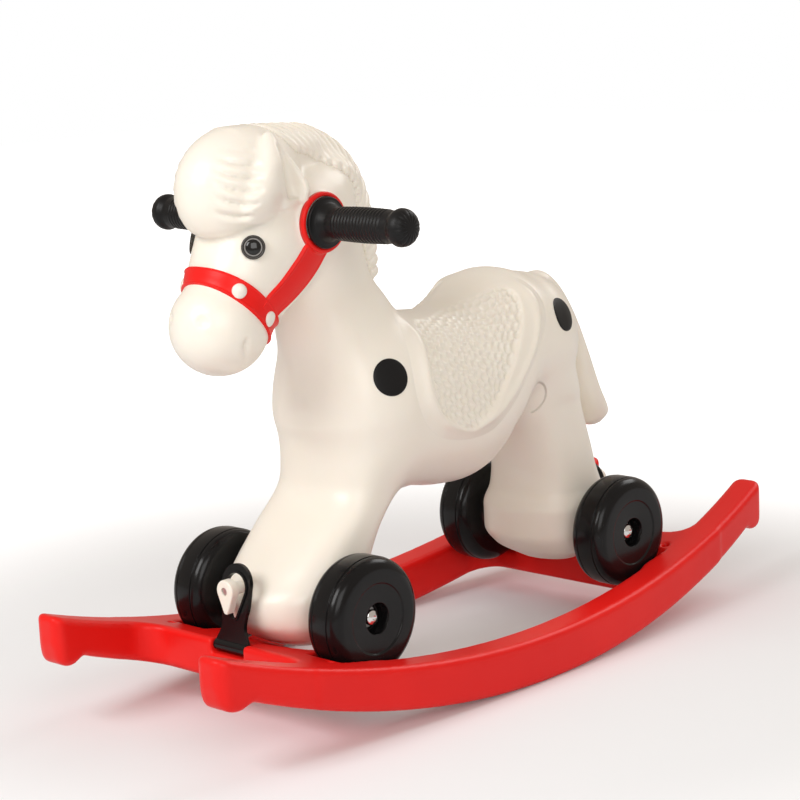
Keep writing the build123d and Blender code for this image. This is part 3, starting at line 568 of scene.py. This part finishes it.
rowsAlong = np.linspace(saddle["front"], saddle["back"], 188)
turnsRound = np.radians(np.linspace(-saddle["round"], saddle["round"], 280))
torsoHeight = along(torsoTable[:, 0], torsoTable[:, 1:2], rowsAlong)[:, 0]
torsoWide = along(torsoTable[:, 0], torsoTable[:, 3:5], rowsAlong)
yy = rowsAlong[:, None] + 0 * turnsRound[None, :]
aa = turnsRound[None, :] + 0 * yy
start = fromAxles(0 * yy, yy, torsoHeight[:, None] + 0 * aa)
direction = unit(np.stack([np.sin(aa) * torsoWide[:, :1], 0 * aa, np.cos(aa) * torsoWide[:, 1:]], -1))
skinAt = clay.skin(start, direction)
outward = clay.normalAt(skinAt)
edgeIn = -outlineDistance(yy, aa * reach, saddleOutline, True, reach)
panelIn = -outlineDistance(yy, np.abs(aa) * reach, panelOutline, False, reach)
# height: under the skin outside, a rolled rim at the sides, level with the back on top, lower in the panel
fromTop = np.abs(np.degrees(aa))
sideways = smoothStep(22, 52, fromTop)
shape = smoothStep(-1.6 * saddle["edge"], saddle["edge"], edgeIn)
lift = (saddle["sunk"] + 0.2 + (saddle["rise"] - 0.2) * sideways) * shape - saddle["sunk"]
lift += saddle["rimRoll"] * sideways * np.exp(-((edgeIn - saddle["rimAt"]) / saddle["rimWide"]) ** 2)
sunk = saddle["panelDrop"] * (0.35 + 0.65 * sideways) * smoothStep(-2.5, 3.5, panelIn)
lift -= sunk * smoothStep(14, 36, fromTop)
# dimples: a paraboloid hollow about the nearest point of a triangular lattice that is bent by slow sines
pitch, column = saddle["pitch"], saddle["pitch"] * math.sqrt(3)
u = yy + 1.3 * np.sin(yy / 9.1 + np.abs(aa) * 7.3) + 0.8 * np.sin(np.abs(aa) * 31)
v = np.abs(aa) * reach + 1.2 * np.sin(yy / 7.7 - np.abs(aa) * 11.2) + 0.8 * np.sin(yy / 4.3)
u, v = u / column, v / pitch
even = np.hypot((u - np.round(u)) * column, (v - np.round(v)) * pitch)
odd = np.hypot((u - 0.5 - np.round(u - 0.5)) * column, (v - 0.5 - np.round(v - 0.5)) * pitch)
dimple = np.clip(1 - (np.minimum(even, odd) / (0.56 * pitch)) ** 2, 0, 1)
lift -= saddle["dimple"] * (dimple - 0.2) * smoothStep(0.0, 4.0, panelIn) * (0.4 + 0.6 * smoothStep(15, 45, fromTop))
top = skinAt + outward * (lift * mm)[..., None]
under = skinAt - outward * saddle["below"]
sheet = closedPiece("saddle", np.concatenate([top, under[:, ::-1]], axis=1))
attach(sheet, main)
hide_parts("horse_body")
print("saddle made")


# the mane: tapering locks that start on the crest's ridge and end on the neck's side

# sizes in millimetres, voxel, blend and sunk in metres, turns in degrees round the crest
mane = {"voxel": 0.0013, "locks": 19, "radius": 6.0, "thinner": 0.8, "blend": 0.0016, "first": 14, "beforeEnd": 30,
        "sweep": 44, "leastSweep": 5, "turn": 60, "moreTurn": 22, "lessTurn": 10, "close": 0.12, "sunk": 0.0022}
crestTable = np.array(crest, float)
crestRun = np.concatenate([[0], np.cumsum(np.hypot(*np.diff(crestTable[:, :2], axis=0).T))])


def onCrest(run, around):
    # the skin's point at a distance along the crest and a turn round it, and the way outward there
    q = along(crestRun, crestTable, np.clip(run, 0, crestRun[-1]))
    tilt = np.radians(q[:, 2])
    start = fromAxles(0 * run, q[:, 0], q[:, 1])
    outwards = np.stack([0 * tilt, np.cos(tilt), np.sin(tilt)], -1)
    direction = np.cos(around)[:, None] * outwards + np.sin(around)[:, None] * np.array([1, 0, 0])
    skin = clay.skin(start, direction)
    return skin, clay.normalAt(skin)


def tube(path, normal, wide, high):
    # an oval section carried along a path; wide lies in the skin, high stands out of it
    ahead = unit(np.gradient(path, axis=0))
    side = unit(np.cross(ahead, normal))
    out = np.cross(side, ahead)
    v = roundTurn(20)[None, :, None]
    return (path[:, None] + side[:, None] * np.cos(v) * wide[:, None, None]
            + out[:, None] * np.sin(v) * high[:, None, None])


t = np.linspace(0, 1, 44)
hair = Field((bodyLow[0], -0.33, 0.36), (bodyHigh[0], -0.05, bodyHigh[2] + 0.004), mane["voxel"], 6)
for number, first in enumerate(np.linspace(mane["first"], crestRun[-1] - mane["beforeEnd"], mane["locks"])):
    share = number / (mane["locks"] - 1)
    sweep = mane["sweep"] * (1 - share) ** 1.2 + mane["leastSweep"]
    endTurn = np.radians(mane["turn"] + mane["moreTurn"] * smoothStep(0, 0.45, share) - mane["lessTurn"] * share)
    path, normal = onCrest(first + sweep * t**0.85, endTurn * t**1.1)
    # each lock grows out of the crest, is fullest near its end and closes quickly there
    full = smoothStep(-0.15, 0.55, t)
    root = 0.3 + 0.55 * smoothStep(0.15, 0.45, share)
    girth = (mane["radius"] - mane["thinner"] * share) * mm * (root + (1 - root) * full)
    girth = girth * (0.62 + 0.38 * smoothStep(0, 0.4, share)) * np.sqrt(np.clip((1 - t) / mane["close"], 0.02, 1))
    path = path + normal * (girth * 0.55 - mane["sunk"])[:, None]
    lock = tube(path, normal, girth * 1.12, girth)
    for side in (1, -1):
        hair.add(hair.ofGrid(lock * (side, 1, 1)), mane["blend"])
points, quads = hair.surface()
maneSkin = meshPiece("mane", underTop(points), quads)
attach(maneSkin, main)
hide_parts("horse_body")
print("mane made")


# the red halter

# millimetres and degrees; the welt's place and width are shares of the strap's width
halter = {"thick": 2.4, "sunk": 0.3, "welt": 0.7, "weltAt": 0.09, "weltWide": 0.035, "centre": (-252, 297),
          "bandNear": 12.5, "bandFar": 33.0, "bandTilt": 43.8, "bridgeNarrow": 5.0, "under": 2.5, "tuck": 0.1}


def strapLift(across):
    # height over the skin from edge 0 to edge 1 of the width: the thickness and a bell-shaped welt near each edge
    edge = np.minimum(across, 1 - across)
    flat = halter["thick"] * smoothStep(0.0, 0.06, edge) - halter["sunk"]
    return flat + halter["welt"] * np.exp(-((edge - halter["weltAt"]) / halter["weltWide"]) ** 2)


tilt = math.radians(halter["bandTilt"])
forward = np.array([0, math.cos(tilt), math.sin(tilt)])
bandUp = np.array([0, -math.sin(tilt), math.cos(tilt)])
centreY, centreZ = halter["centre"]
bandCentre = fromAxles(0, centreY, centreZ)
centreOffset = centreY * math.cos(tilt) + centreZ * math.sin(tilt)
across = np.linspace(0, 1, 34)
turn = roundTurn(220)
bridge = np.clip(np.cos(turn), 0, 1) ** 2
bandWide = halter["bandFar"] - halter["bandNear"] - halter["bridgeNarrow"] * bridge
shift = (halter["bandNear"] - centreOffset + bandWide[:, None] * across) * mm
start = bandCentre + forward * shift[..., None]
direction = np.sin(turn)[:, None, None] * np.array([1, 0, 0]) + np.cos(turn)[:, None, None] * bandUp + 0 * start
skinAt = clay.skin(start, direction)
outward = clay.normalAt(skinAt)
outward = unit(outward - forward * (outward @ forward)[..., None])
over = skinAt + outward * (strapLift(across) * mm)[None, :, None]
under = skinAt - outward * (halter["under"] * mm)
noseband = ringPiece("nosebandStrap", np.concatenate([over, under[:, ::-1]], axis=1))
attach(noseband, main)
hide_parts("noseband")

# upper and lower edges of the cheek strap seen from the side, millimetres from the axles' height
strapUpper = np.array([(-252, 297), (-244, 306), (-231, 317), (-217, 332), (-208, 343), (-199, 356)])
strapLower = np.array([(-235, 279), (-226, 286), (-209, 296), (-192, 309), (-181, 322), (-171, 338)])
ringOutline = rounded([(56.0, 24.2), (60.8, 24.2), (61.4, 25.4), (61.2, 27.2), (60.2, 28.3), (56.0, 28.3)], 0.6)
rows = np.linspace(0, 1, 70)
knots = np.linspace(0, 1, len(strapUpper))
upperLine, lowerLine = along(knots, strapUpper, rows), along(knots, strapLower, rows)
flat = upperLine[:, None] * across[None, :, None] + lowerLine[:, None] * (1 - across)[None, :, None]
for name, side in sides:
    start = fromAxles(0 * flat[..., 0], flat[..., 0], flat[..., 1])
    skinAt = clay.skin(start, np.array([side, 0, 0]) + 0 * start)
    outward = clay.normalAt(skinAt)
    over = skinAt + outward * ((strapLift(across) - halter["tuck"]) * mm)[None, :, None]
    under = skinAt - outward * (halter["under"] * mm)
    strap = closedPiece("cheekStrap." + name, np.concatenate([over, under[:, ::-1]], axis=1))
    loop = ringPiece("cheekRing." + name, spun(ringOutline) * (side, 1, 1) + handle)
    for piece in (strap, loop):
        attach(piece, main)
        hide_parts("cheek_strap_" + name)
print("halter made")


# spots, eyes and rivets

def overSkin(place, facing, radius, profile, cols=72):
    # a round patch on the skin; profile rows are (share of the radius, height over the skin in millimetres)
    f = unit(np.array(facing, float))
    right = unit(np.cross((0, 0, 1), f))
    p = np.asarray(profile, float)
    v = roundTurn(cols)[None, :, None]
    flat = (p[:, 0] * radius * mm)[:, None, None] * (np.cos(v) * right + np.sin(v) * np.cross(f, right))
    inner = np.asarray(place) - f * 0.03 + flat
    skinAt = clay.skin(inner, f + 0 * inner, 0.06)
    return skinAt + f * (p[:, 1] * mm)[:, None, None]


spotRadius = 18.0
spotProfile = [(0.98, -2.0), (1.0, -0.2), (1.0, 0.35), (0.985, 0.6), (0.94, 0.75), (0.8, 0.8), (0.6, 0.8),
               (0.4, 0.8), (0.2, 0.8), (0.02, 0.8)]
spotFacing = {"shoulder": (0.95, -0.26, 0.17), "haunch": (0.92, 0.25, 0.30)}
for place in spotFacing:
    for name, side in sides:
        hub = "spot_" + place + "_" + name
        facing = np.array(spotFacing[place]) * (side, 1, 1)
        piece = closedPiece("spot." + place + "." + name, overSkin(centreOf(hub), facing, spotRadius, spotProfile))
        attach(piece, main)
        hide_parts(hub)

# eye: a dark rim, a pale clear ring inside it and a black dome; rows are (height, radius) in millimetres
eyeParts = {"rim": rounded([(-2.0, 11.0), (1.2, 11.0), (1.9, 10.2), (1.7, 9.0), (0.4, 8.4), (-2.0, 8.4)], 0.5, 5),
            "ring": rounded([(-2.0, 8.6), (0.5, 8.6), (1.3, 8.0), (1.2, 7.2), (0.3, 6.8), (-2.0, 6.8)], 0.4, 5)}
angle = np.linspace(0, np.pi / 2, 24)
eyeDome = np.concatenate([[(-2.0, 7.2)], np.stack([0.3 + 2.6 * np.sin(angle), 7.2 * np.cos(angle) + 0.02], -1)])
for name, side in sides:
    seat = centreOf("eye_ring_" + name)
    facing = np.array(eye["facing"]) * (side, 1, 1)
    for part, outline in eyeParts.items():
        piece = ringPiece("eye." + part + "." + name, turnedTo(spun(outline), seat, facing))
        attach(piece, main)
        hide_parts("eye_ring_" + name)
    piece = closedPiece("eye.dome." + name, turnedTo(spun(eyeDome), seat, facing))
    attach(piece, main)
    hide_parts("eye_" + name)
rivet = {"radius": 7.0, "rise": 3.0, "over": 2.2}
# where each rivet sits, millimetres from the axles' height, and the way it faces, on the left side
rivetPlaces = {"nose": ((36.1, -270.5, 313.1), (0.83, -0.55, 0.05)),
               "cheek": ((40, -241.2, 285.2), (0.916, 0.02, -0.40))}
share = np.linspace(1, 0.02, 16)
rivetDome = np.stack([share, rivet["over"] + rivet["rise"] * np.sqrt(np.maximum(1 - share**2, 0)) ** 0.9], -1)
rivetDome = np.concatenate([[(0.97, -1.0)], rivetDome])
for which, (place, facing) in rivetPlaces.items():
    for name, side in sides:
        seat = np.array(place) * (side, 1, 1) * mm + (0, 0, axleHeight)
        dome = overSkin(seat, np.array(facing) * (side, 1, 1), rivet["radius"], rivetDome, 56)
        piece = closedPiece("rivet." + which + "." + name, dome)
        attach(piece, main)
        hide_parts("halter_rivets")
print("spots, eyes and rivets made")


# handle grips

grip = {"start": 60.9, "flangeRadius": 24.0, "barrel": 14.6, "barrelFrom": 74.0, "swell": 1.3, "swellFrom": 72.0,
        "swellLong": 84.0, "ribs": 15, "ribDepth": 0.55, "ribStart": 82.0, "ribEnd": 143.0, "bulbStart": 150.0,
        "bulbRadius": 17.6, "bulbLong": 12.5, "end": 170.0, "petals": 16, "petalDepth": 0.0005}


def gripProfile():
    # flange, concave cup, a barrel that swells by half a sine with ribs of a raised cosine, then a domed bulb
    g = grip
    x = np.linspace(g["barrelFrom"], g["bulbStart"], 420)
    share = np.clip((x - g["ribStart"]) / (g["ribEnd"] - g["ribStart"]), 0, 1)
    rib = (0.5 - 0.5 * np.cos(share * g["ribs"] * 2 * np.pi)) * g["ribDepth"]
    barrel = g["barrel"] + g["swell"] * np.sin(np.pi * np.clip((x - g["swellFrom"]) / g["swellLong"], 0, 1)) + rib
    wide = g["flangeRadius"]
    cup = rounded([(g["start"], 7.0), (g["start"], wide), (64.6, wide), (65.0, wide - 2.5), (66.5, wide - 6),
                   (g["barrelFrom"], barrel[0])], 1.4, 7)
    angle = np.linspace(0.0, np.pi / 2, 26)
    middle = g["end"] - g["bulbLong"]
    dome = np.stack([middle + g["bulbLong"] * np.sin(angle) ** 0.9, g["bulbRadius"] * np.cos(angle) ** 0.62], -1)
    share = np.linspace(0, 1, 14)[1:-1]
    taper = np.stack([g["bulbStart"] + (middle - g["bulbStart"]) * share,
                      barrel[-1] + (g["bulbRadius"] - barrel[-1]) * smoothStep(0, 1, share)], -1)
    return np.concatenate([cup, np.stack([x, barrel], -1)[1:], taper, dome[:-1], [[g["end"], 0.05]]])


profile = gripProfile()
surface = spun(profile, 160)
radius = np.hypot(surface[..., 1], surface[..., 2])
# shallow petals round the bulb's end, each a raised cosine to the third power
ending = (profile[:, :1] > grip["end"] - 12) * smoothStep(0.004, 0.009, radius) * smoothStep(0.0185, 0.014, radius)
petals = (0.5 + 0.5 * np.cos(roundTurn(160) * grip["petals"])) ** 3
surface[..., 0] -= grip["petalDepth"] * ending * petals
for name, side in sides:
    piece = closedPiece("handleGrip." + name, surface * (side, 1, 1) + handle)
    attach(piece, main)
    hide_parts("handle_grip_" + name)
print("grips made")


# wheels

wheel = {"rim": 57.5, "half": 21.0, "tread": 8.5, "groove": 1.3, "grooveDepth": 1.0, "shoulder": 45.0,
         "shoulderBelow": 0.4, "disc": 33.0, "discSink": 1.2, "well": 15.0, "wellDepth": 15.5, "bore": 5.3}


def wheelProfile():
    # half section from the bore on the inner side, over the tread, to the bore in the hub well
    # shoulders are quarter ellipses
    w = wheel
    h, r, g, low = w["half"], w["rim"], w["groove"], w["rim"] - w["grooveDepth"]
    edge = r - w["shoulderBelow"]
    a = np.linspace(0, np.pi / 2, 24)
    shoulderIn = np.stack([-h + (h - w["tread"] - g) * (1 - np.cos(a)),
                           w["shoulder"] + (edge - w["shoulder"]) * np.sin(a)], -1)
    near, far = w["tread"], w["tread"] + g
    treadLine = rounded([(-far, edge), (-far + 0.1, low), (-near - 0.1, low), (-near, r), (near, r),
                         (near + 0.1, low), (far - 0.1, low), (far, edge)], 0.35, 4)
    shoulderOut = shoulderIn[::-1] * (-1, 1)
    sunk, floor = h - w["discSink"], h - w["wellDepth"]
    face = rounded([(h, w["shoulder"]), (h, w["disc"] + 1.2), (sunk, w["disc"]), (sunk, w["well"]),
                    (floor, w["well"] - 1), (floor, w["bore"])], 0.9, 6)
    back = rounded([(-h, w["bore"]), (-h, w["shoulder"] - 4), (-h, w["shoulder"])], 0.5, 4)
    return np.concatenate([back[:-1], shoulderIn, treadLine[1:-1], shoulderOut, face[1:]])


wheelGrid = spun(wheelProfile(), 144)
for end in ("front", "rear"):
    for name, side in sides:
        hub = "wheel_" + end + "_" + name
        piece = ringPiece("wheel." + end + "." + name, wheelGrid * (side, 1, 1) + centreOf(hub))
        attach(piece, hub)
        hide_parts(hub)
print("wheels made")


# the rocker base

# millimetres: plan sizes from above, arcs from the side, then what is cut into it
base = {"voxel": 0.0021, "runnerMid": 145.0, "toeIn": 33.0, "runnerHalf": 18.0, "halfLength": 403.0, "corner": 12.0,
        "crossMid": 248.0, "crossHalf": 33.0, "crossShort": 20.0, "junction": 27.0, "bottomRadius": 1000.0,
        "topRadius": 1180.0, "height": 46.5, "footY": 385.0, "footRadius": 18.0, "footBottom": 65.0,
        "footBlend": 6.0, "lowEdge": 1.0, "edge": 6.5, "wellRadius": 59.5, "wellHalf": 23.0, "wellX": 94.0,
        "panAcross": 65.0, "panAlong": 55.0, "panScale": 58.0, "panFloor": 61.7, "panBlend": 0.003,
        "holeRadius": 4.25, "holeX": 110.0, "holeY": 252.0, "holeBlend": 0.0018, "slotHalf": 22.5,
        "slotBack": 265.5, "slotFloor": 65.7, "slotBlend": 0.002, "deepest": 0.015}


def roundedUnion(a, b, radius):
    # the smaller distance, with a round fillet of that radius where they meet
    u, v = np.maximum(radius - a, 0), np.maximum(radius - b, 0)
    return np.maximum(radius, np.minimum(a, b)) - np.hypot(u, v)


def roundedOverlap(a, b, radius):
    # the larger distance, with a rounding of that radius along the edge
    return -roundedUnion(-a, -b, radius)


def baseField():
    space = Field(*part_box("rocker_base"), base["voxel"])
    x, y, z = (axis / mm for axis in space.places())
    b = base
    ax, ay, axleY = np.abs(x), np.abs(y), centreOf("axle_rear")[1] / mm
    # runners: a strip about a parabola that turns in towards both ends, joined by two cross members
    middle = b["runnerMid"] - b["toeIn"] * (y / b["halfLength"]) ** 2
    slant = np.cos(np.arctan(2 * b["toeIn"] * y / b["halfLength"] ** 2))
    runner = roundedOverlap((np.abs(ax - middle) - b["runnerHalf"]) * slant, ay - b["halfLength"], b["corner"])
    cross = np.maximum(np.abs(ay - b["crossMid"]) - b["crossHalf"], ax - b["runnerMid"] + b["crossShort"])
    plan = roundedUnion(runner, cross, b["junction"])
    # side view: between two circles, with a round foot near each end
    low = np.hypot(y, z - b["bottomRadius"]) - b["bottomRadius"]
    foot = np.hypot(ay - b["footY"], z - b["footBottom"] - b["footRadius"]) - b["footRadius"]
    high = b["topRadius"] - np.hypot(y, z - b["height"] - b["topRadius"])
    side = roundedOverlap(roundedUnion(low, foot, b["footBlend"]), high, b["lowEdge"])
    solid = roundedOverlap(plan, side, b["edge"]) + 0 * z
    wellSide = np.hypot(ay - axleY, z - axleHeight / mm) - b["wellRadius"]
    well = np.maximum(wellSide, np.abs(ax - b["wellX"]) - b["wellHalf"])
    pan = (np.hypot(x / b["panAcross"], (ay - axleY) / b["panAlong"]) - 1) * b["panScale"]
    pan = np.maximum(pan, b["panFloor"] - z)
    hole = np.hypot(ax - b["holeX"], ay - b["holeY"]) - b["holeRadius"]
    slot = np.maximum(np.maximum(ax - b["slotHalf"], b["slotBack"] - ay), b["slotFloor"] - z)
    space.values = (solid * mm).astype(np.float32)
    for cut, blend in ((well, "pan"), (pan, "pan"), (hole, "hole"), (slot, "slot")):
        space.carve(((cut + 0 * solid) * mm).astype(np.float32), b[blend + "Blend"])
    space.values = np.clip(space.values, -b["deepest"], b["deepest"])
    return space


points, quads = baseField().surface()
rocker = meshPiece("rockerBase", points, quads)
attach(rocker, main)
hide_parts("rocker_base")
print("base made")


# finishes

ivory = {"colour": (0.90, 0.86, 0.775), "shade": (0.885, 0.84, 0.745), "thighDisc": (0.0, 0.105, 0.247),
         "discRadius": 0.022, "discEdge": 0.0014, "discDeep": 0.0028, "discFrom": 0.04}
red = (0.82, 0.011, 0.008), (0.76, 0.009, 0.007)
black = (0.0045, 0.0045, 0.005), (0.007, 0.007, 0.0075)
# colour, its shade, roughness, height of the skin's waves in metres, strength of the reflections
plastics = {"red": (*red, 0.36, 0.00012, 0.24), "black_gloss": (*black, 0.2, 0.00005, 0.24),
            "black_satin": (*black, 0.42, 0.00004, 0.24),
            "grey_clear": ((0.3, 0.29, 0.28), (0.22, 0.21, 0.2), 0.15, 0.00002),
            "eyeRim": ((0.02, 0.017, 0.014), (0.03, 0.026, 0.022), 0.2, 0.00002),
            "eyeBlack": ((0.004, 0.004, 0.004), (0.006, 0.006, 0.006), 0.06, 0.00001),
            "rivetCream": ((0.86, 0.83, 0.77), (0.8, 0.76, 0.68), 0.25, 0.00003)}
finishes = {name: mouldedPlastic(name, *values)[0] for name, values in plastics.items()}

finishes["ivory"], tree, shader = mouldedPlastic("ivory", ivory["colour"], ivory["shade"], 0.32)
for socket, value in (("Weight", 0.12), ("Radius", (1.0, 0.7, 0.45)), ("Scale", 0.004)):
    shader.inputs["Subsurface " + socket].default_value = value
# a round disc pressed into each thigh: height falls inside a circle about a point, the same on both sides
place = placeIn(tree)
flat = node(tree, "ShaderNodeVectorMath", {0: place, 1: (0, 1, 1)}, operation="MULTIPLY").outputs[0]
distance = node(tree, "ShaderNodeVectorMath", {0: flat, 1: ivory["thighDisc"]}, operation="DISTANCE").outputs["Value"]
fromMiddle = calc(tree, "ABSOLUTE", node(tree, "ShaderNodeSeparateXYZ", {0: place}).outputs["X"])
wide, soft = ivory["discRadius"], ivory["discEdge"]
disc = calc(tree, "MULTIPLY", ramp(tree, distance, wide + soft, wide - soft),
            calc(tree, "GREATER_THAN", fromMiddle, ivory["discFrom"]))
bumpOn(tree, shader, calc(tree, "MULTIPLY", disc, -1.0), ivory["discDeep"])

# worn bright metal: colour and roughness, with fine marks that make the gloss slightly uneven
metals = {"steel": ((0.62, 0.61, 0.6), 0.34), "chrome": ((0.8, 0.8, 0.8), 0.16)}
for name, (colour, rough) in metals.items():
    finishes[name], tree, shader = newMaterial(name, colour, rough, metal=1.0)
    marks = noiseOn(tree, 260.0, 5.0)
    tree.links.new(calc(tree, "MULTIPLY_ADD", marks, 0.22, rough - 0.1), shader.inputs["Roughness"])
    bumpOn(tree, shader, marks, 0.000015)

# the finish of each CAD piece is the first that has a word found in its name; the others are red
cadFinish = {"steel": "latch_pin washer knob_screw axle_front axle_rear handle_bar", "chrome": "axle_cap",
             "black_satin": "grip wheel", "grey_clear": "eye_ring", "black_gloss": "eye_ latch spot",
             "ivory": "rivet horse knob"}
# the slot of each modelled piece by how its name starts; the others are red
madeFinish = {"ponyBody": "ivory", "saddle": "ivory", "mane": "ivory", "rivet.": "ivory",
                  "spot.": "black_satin", "eye.ring.": "grey_clear", "eye.": "black_gloss",
                  "handleGrip": "black_satin", "wheel.": "black_gloss"}
ownLook = {"rivet.": "rivetCream", "eye.rim.": "eyeRim", "eye.dome.": "eyeBlack"}
for piece in list(bpy.context.scene.objects):
    if piece.type != "MESH":
        continue
    if piece.name in frame["nodes"]:
        fits = (finish for finish, words in cadFinish.items() if any(word in piece.name for word in words.split()))
        finish = finishes[next(fits, "red")]
        for slot in piece.material_slots:
            slot.material = finish
        continue
    slotName, look = (next((value for start, value in table.items() if piece.name.startswith(start)), None)
                      for table in (madeFinish, ownLook))
    slotName = slotName or "red"
    piece.data.materials.append(finishes[look or slotName])


# studio

# lights and sky in Blender's units of power, lengths in metres
studio = {"floorTone": 0.86, "floorHalf": 6, "floorLift": 0.07, "fadeFrom": 0.42, "fadeTo": 1.3, "key": 33.0,
          "fill": 17.0, "rim": 13.0, "sky": 0.5, "skyColour": (1.0, 0.87, 0.76, 1), "aim": (0, 0, 0.25)}
wide = studio["floorHalf"]
corners = [(-wide, -wide, 0), (wide, -wide, 0), (-wide, wide, 0), (wide, wide, 0)]
floor = meshPiece("floor", corners, [[0, 1, 3, 2]], smooth=False)
floorMaterial, tree, shader = newMaterial("floor", (0.9, 0.9, 0.9), 0.9, specular=0.1)
tone = studio["floorTone"]
paler, darker = (tone - 0.03, tone, tone + 0.03), (tone - 0.05, tone - 0.02, tone + 0.01)
tree.links.new(mixColour(tree, noiseOn(tree, 3.0), paler, darker), shader.inputs["Base Color"])
# the camera sees the floor paler than it is, and white further out, so that it has no edge
length = node(tree, "ShaderNodeVectorMath", {0: placeIn(tree)}, operation="LENGTH").outputs["Value"]
far = ramp(tree, length, studio["fadeFrom"], studio["fadeTo"])
level = calc(tree, "MULTIPLY_ADD", far, 1.0 - studio["floorLift"], studio["floorLift"])
seen = node(tree, "ShaderNodeLightPath").outputs["Is Camera Ray"]
glow = node(tree, "ShaderNodeEmission", {"Strength": calc(tree, "MULTIPLY", level, seen)})
both = node(tree, "ShaderNodeAddShader", {0: shader.outputs[0], 1: glow.outputs[0]})
tree.links.new(both.outputs[0], tree.nodes["Material Output"].inputs["Surface"])
floor.data.materials.append(floorMaterial)

world = bpy.data.worlds.new("studioWorld")
bpy.context.scene.world = world
world.use_nodes = True
tree = world.node_tree
sky = tree.nodes["Background"]
sky.inputs["Color"].default_value = studio["skyColour"]
sky.inputs["Strength"].default_value = studio["sky"]
white = node(tree, "ShaderNodeBackground", {"Color": (1, 1, 1, 1), "Strength": 1.0})
seen = node(tree, "ShaderNodeLightPath").outputs["Is Camera Ray"]
mix = node(tree, "ShaderNodeMixShader", {"Fac": seen, 1: sky.outputs[0], 2: white.outputs[0]})
tree.links.new(mix.outputs[0], tree.nodes["World Output"].inputs["Surface"])


def softLight(name, place, power, size):
    # a rectangular lamp turned towards the aim
    data = bpy.data.lights.new(name, "AREA")
    data.energy = power
    data.shape = "RECTANGLE"
    data.size, data.size_y = size
    light = bpy.data.objects.new(name, data)
    bpy.context.scene.collection.objects.link(light)
    light.location = place
    ahead = Vector(studio["aim"]) - Vector(place)
    light.rotation_euler = ahead.to_track_quat("-Z", "Y").to_euler()


softLight("keyLight", (-0.15, -2.15, 1.8), studio["key"], (1.2, 1.2))
softLight("fillLight", (1.9, -1.5, 1.3), studio["fill"], (1.4, 1.4))
softLight("rimLight", (0.3, 1.9, 1.7), studio["rim"], (1.2, 0.9))

cameraData = bpy.data.cameras.new("studioCamera")
cameraData.lens = 104.95
cameraData.sensor_width = 36
camera = bpy.data.objects.new("studioCamera", cameraData)
bpy.context.scene.collection.objects.link(camera)
camera.matrix_world = Matrix(((0.72418598, -0.09946423, 0.68239398, 1.5860),
                              (0.68813488, 0.16880277, -0.70567416, -1.6713),
                              (-0.04500066, 0.98061842, 0.1906894, 0.7111), (0, 0, 0, 1)))
bpy.context.scene.camera = camera
bpy.context.scene.view_settings.view_transform = "Standard"
print("studio made")
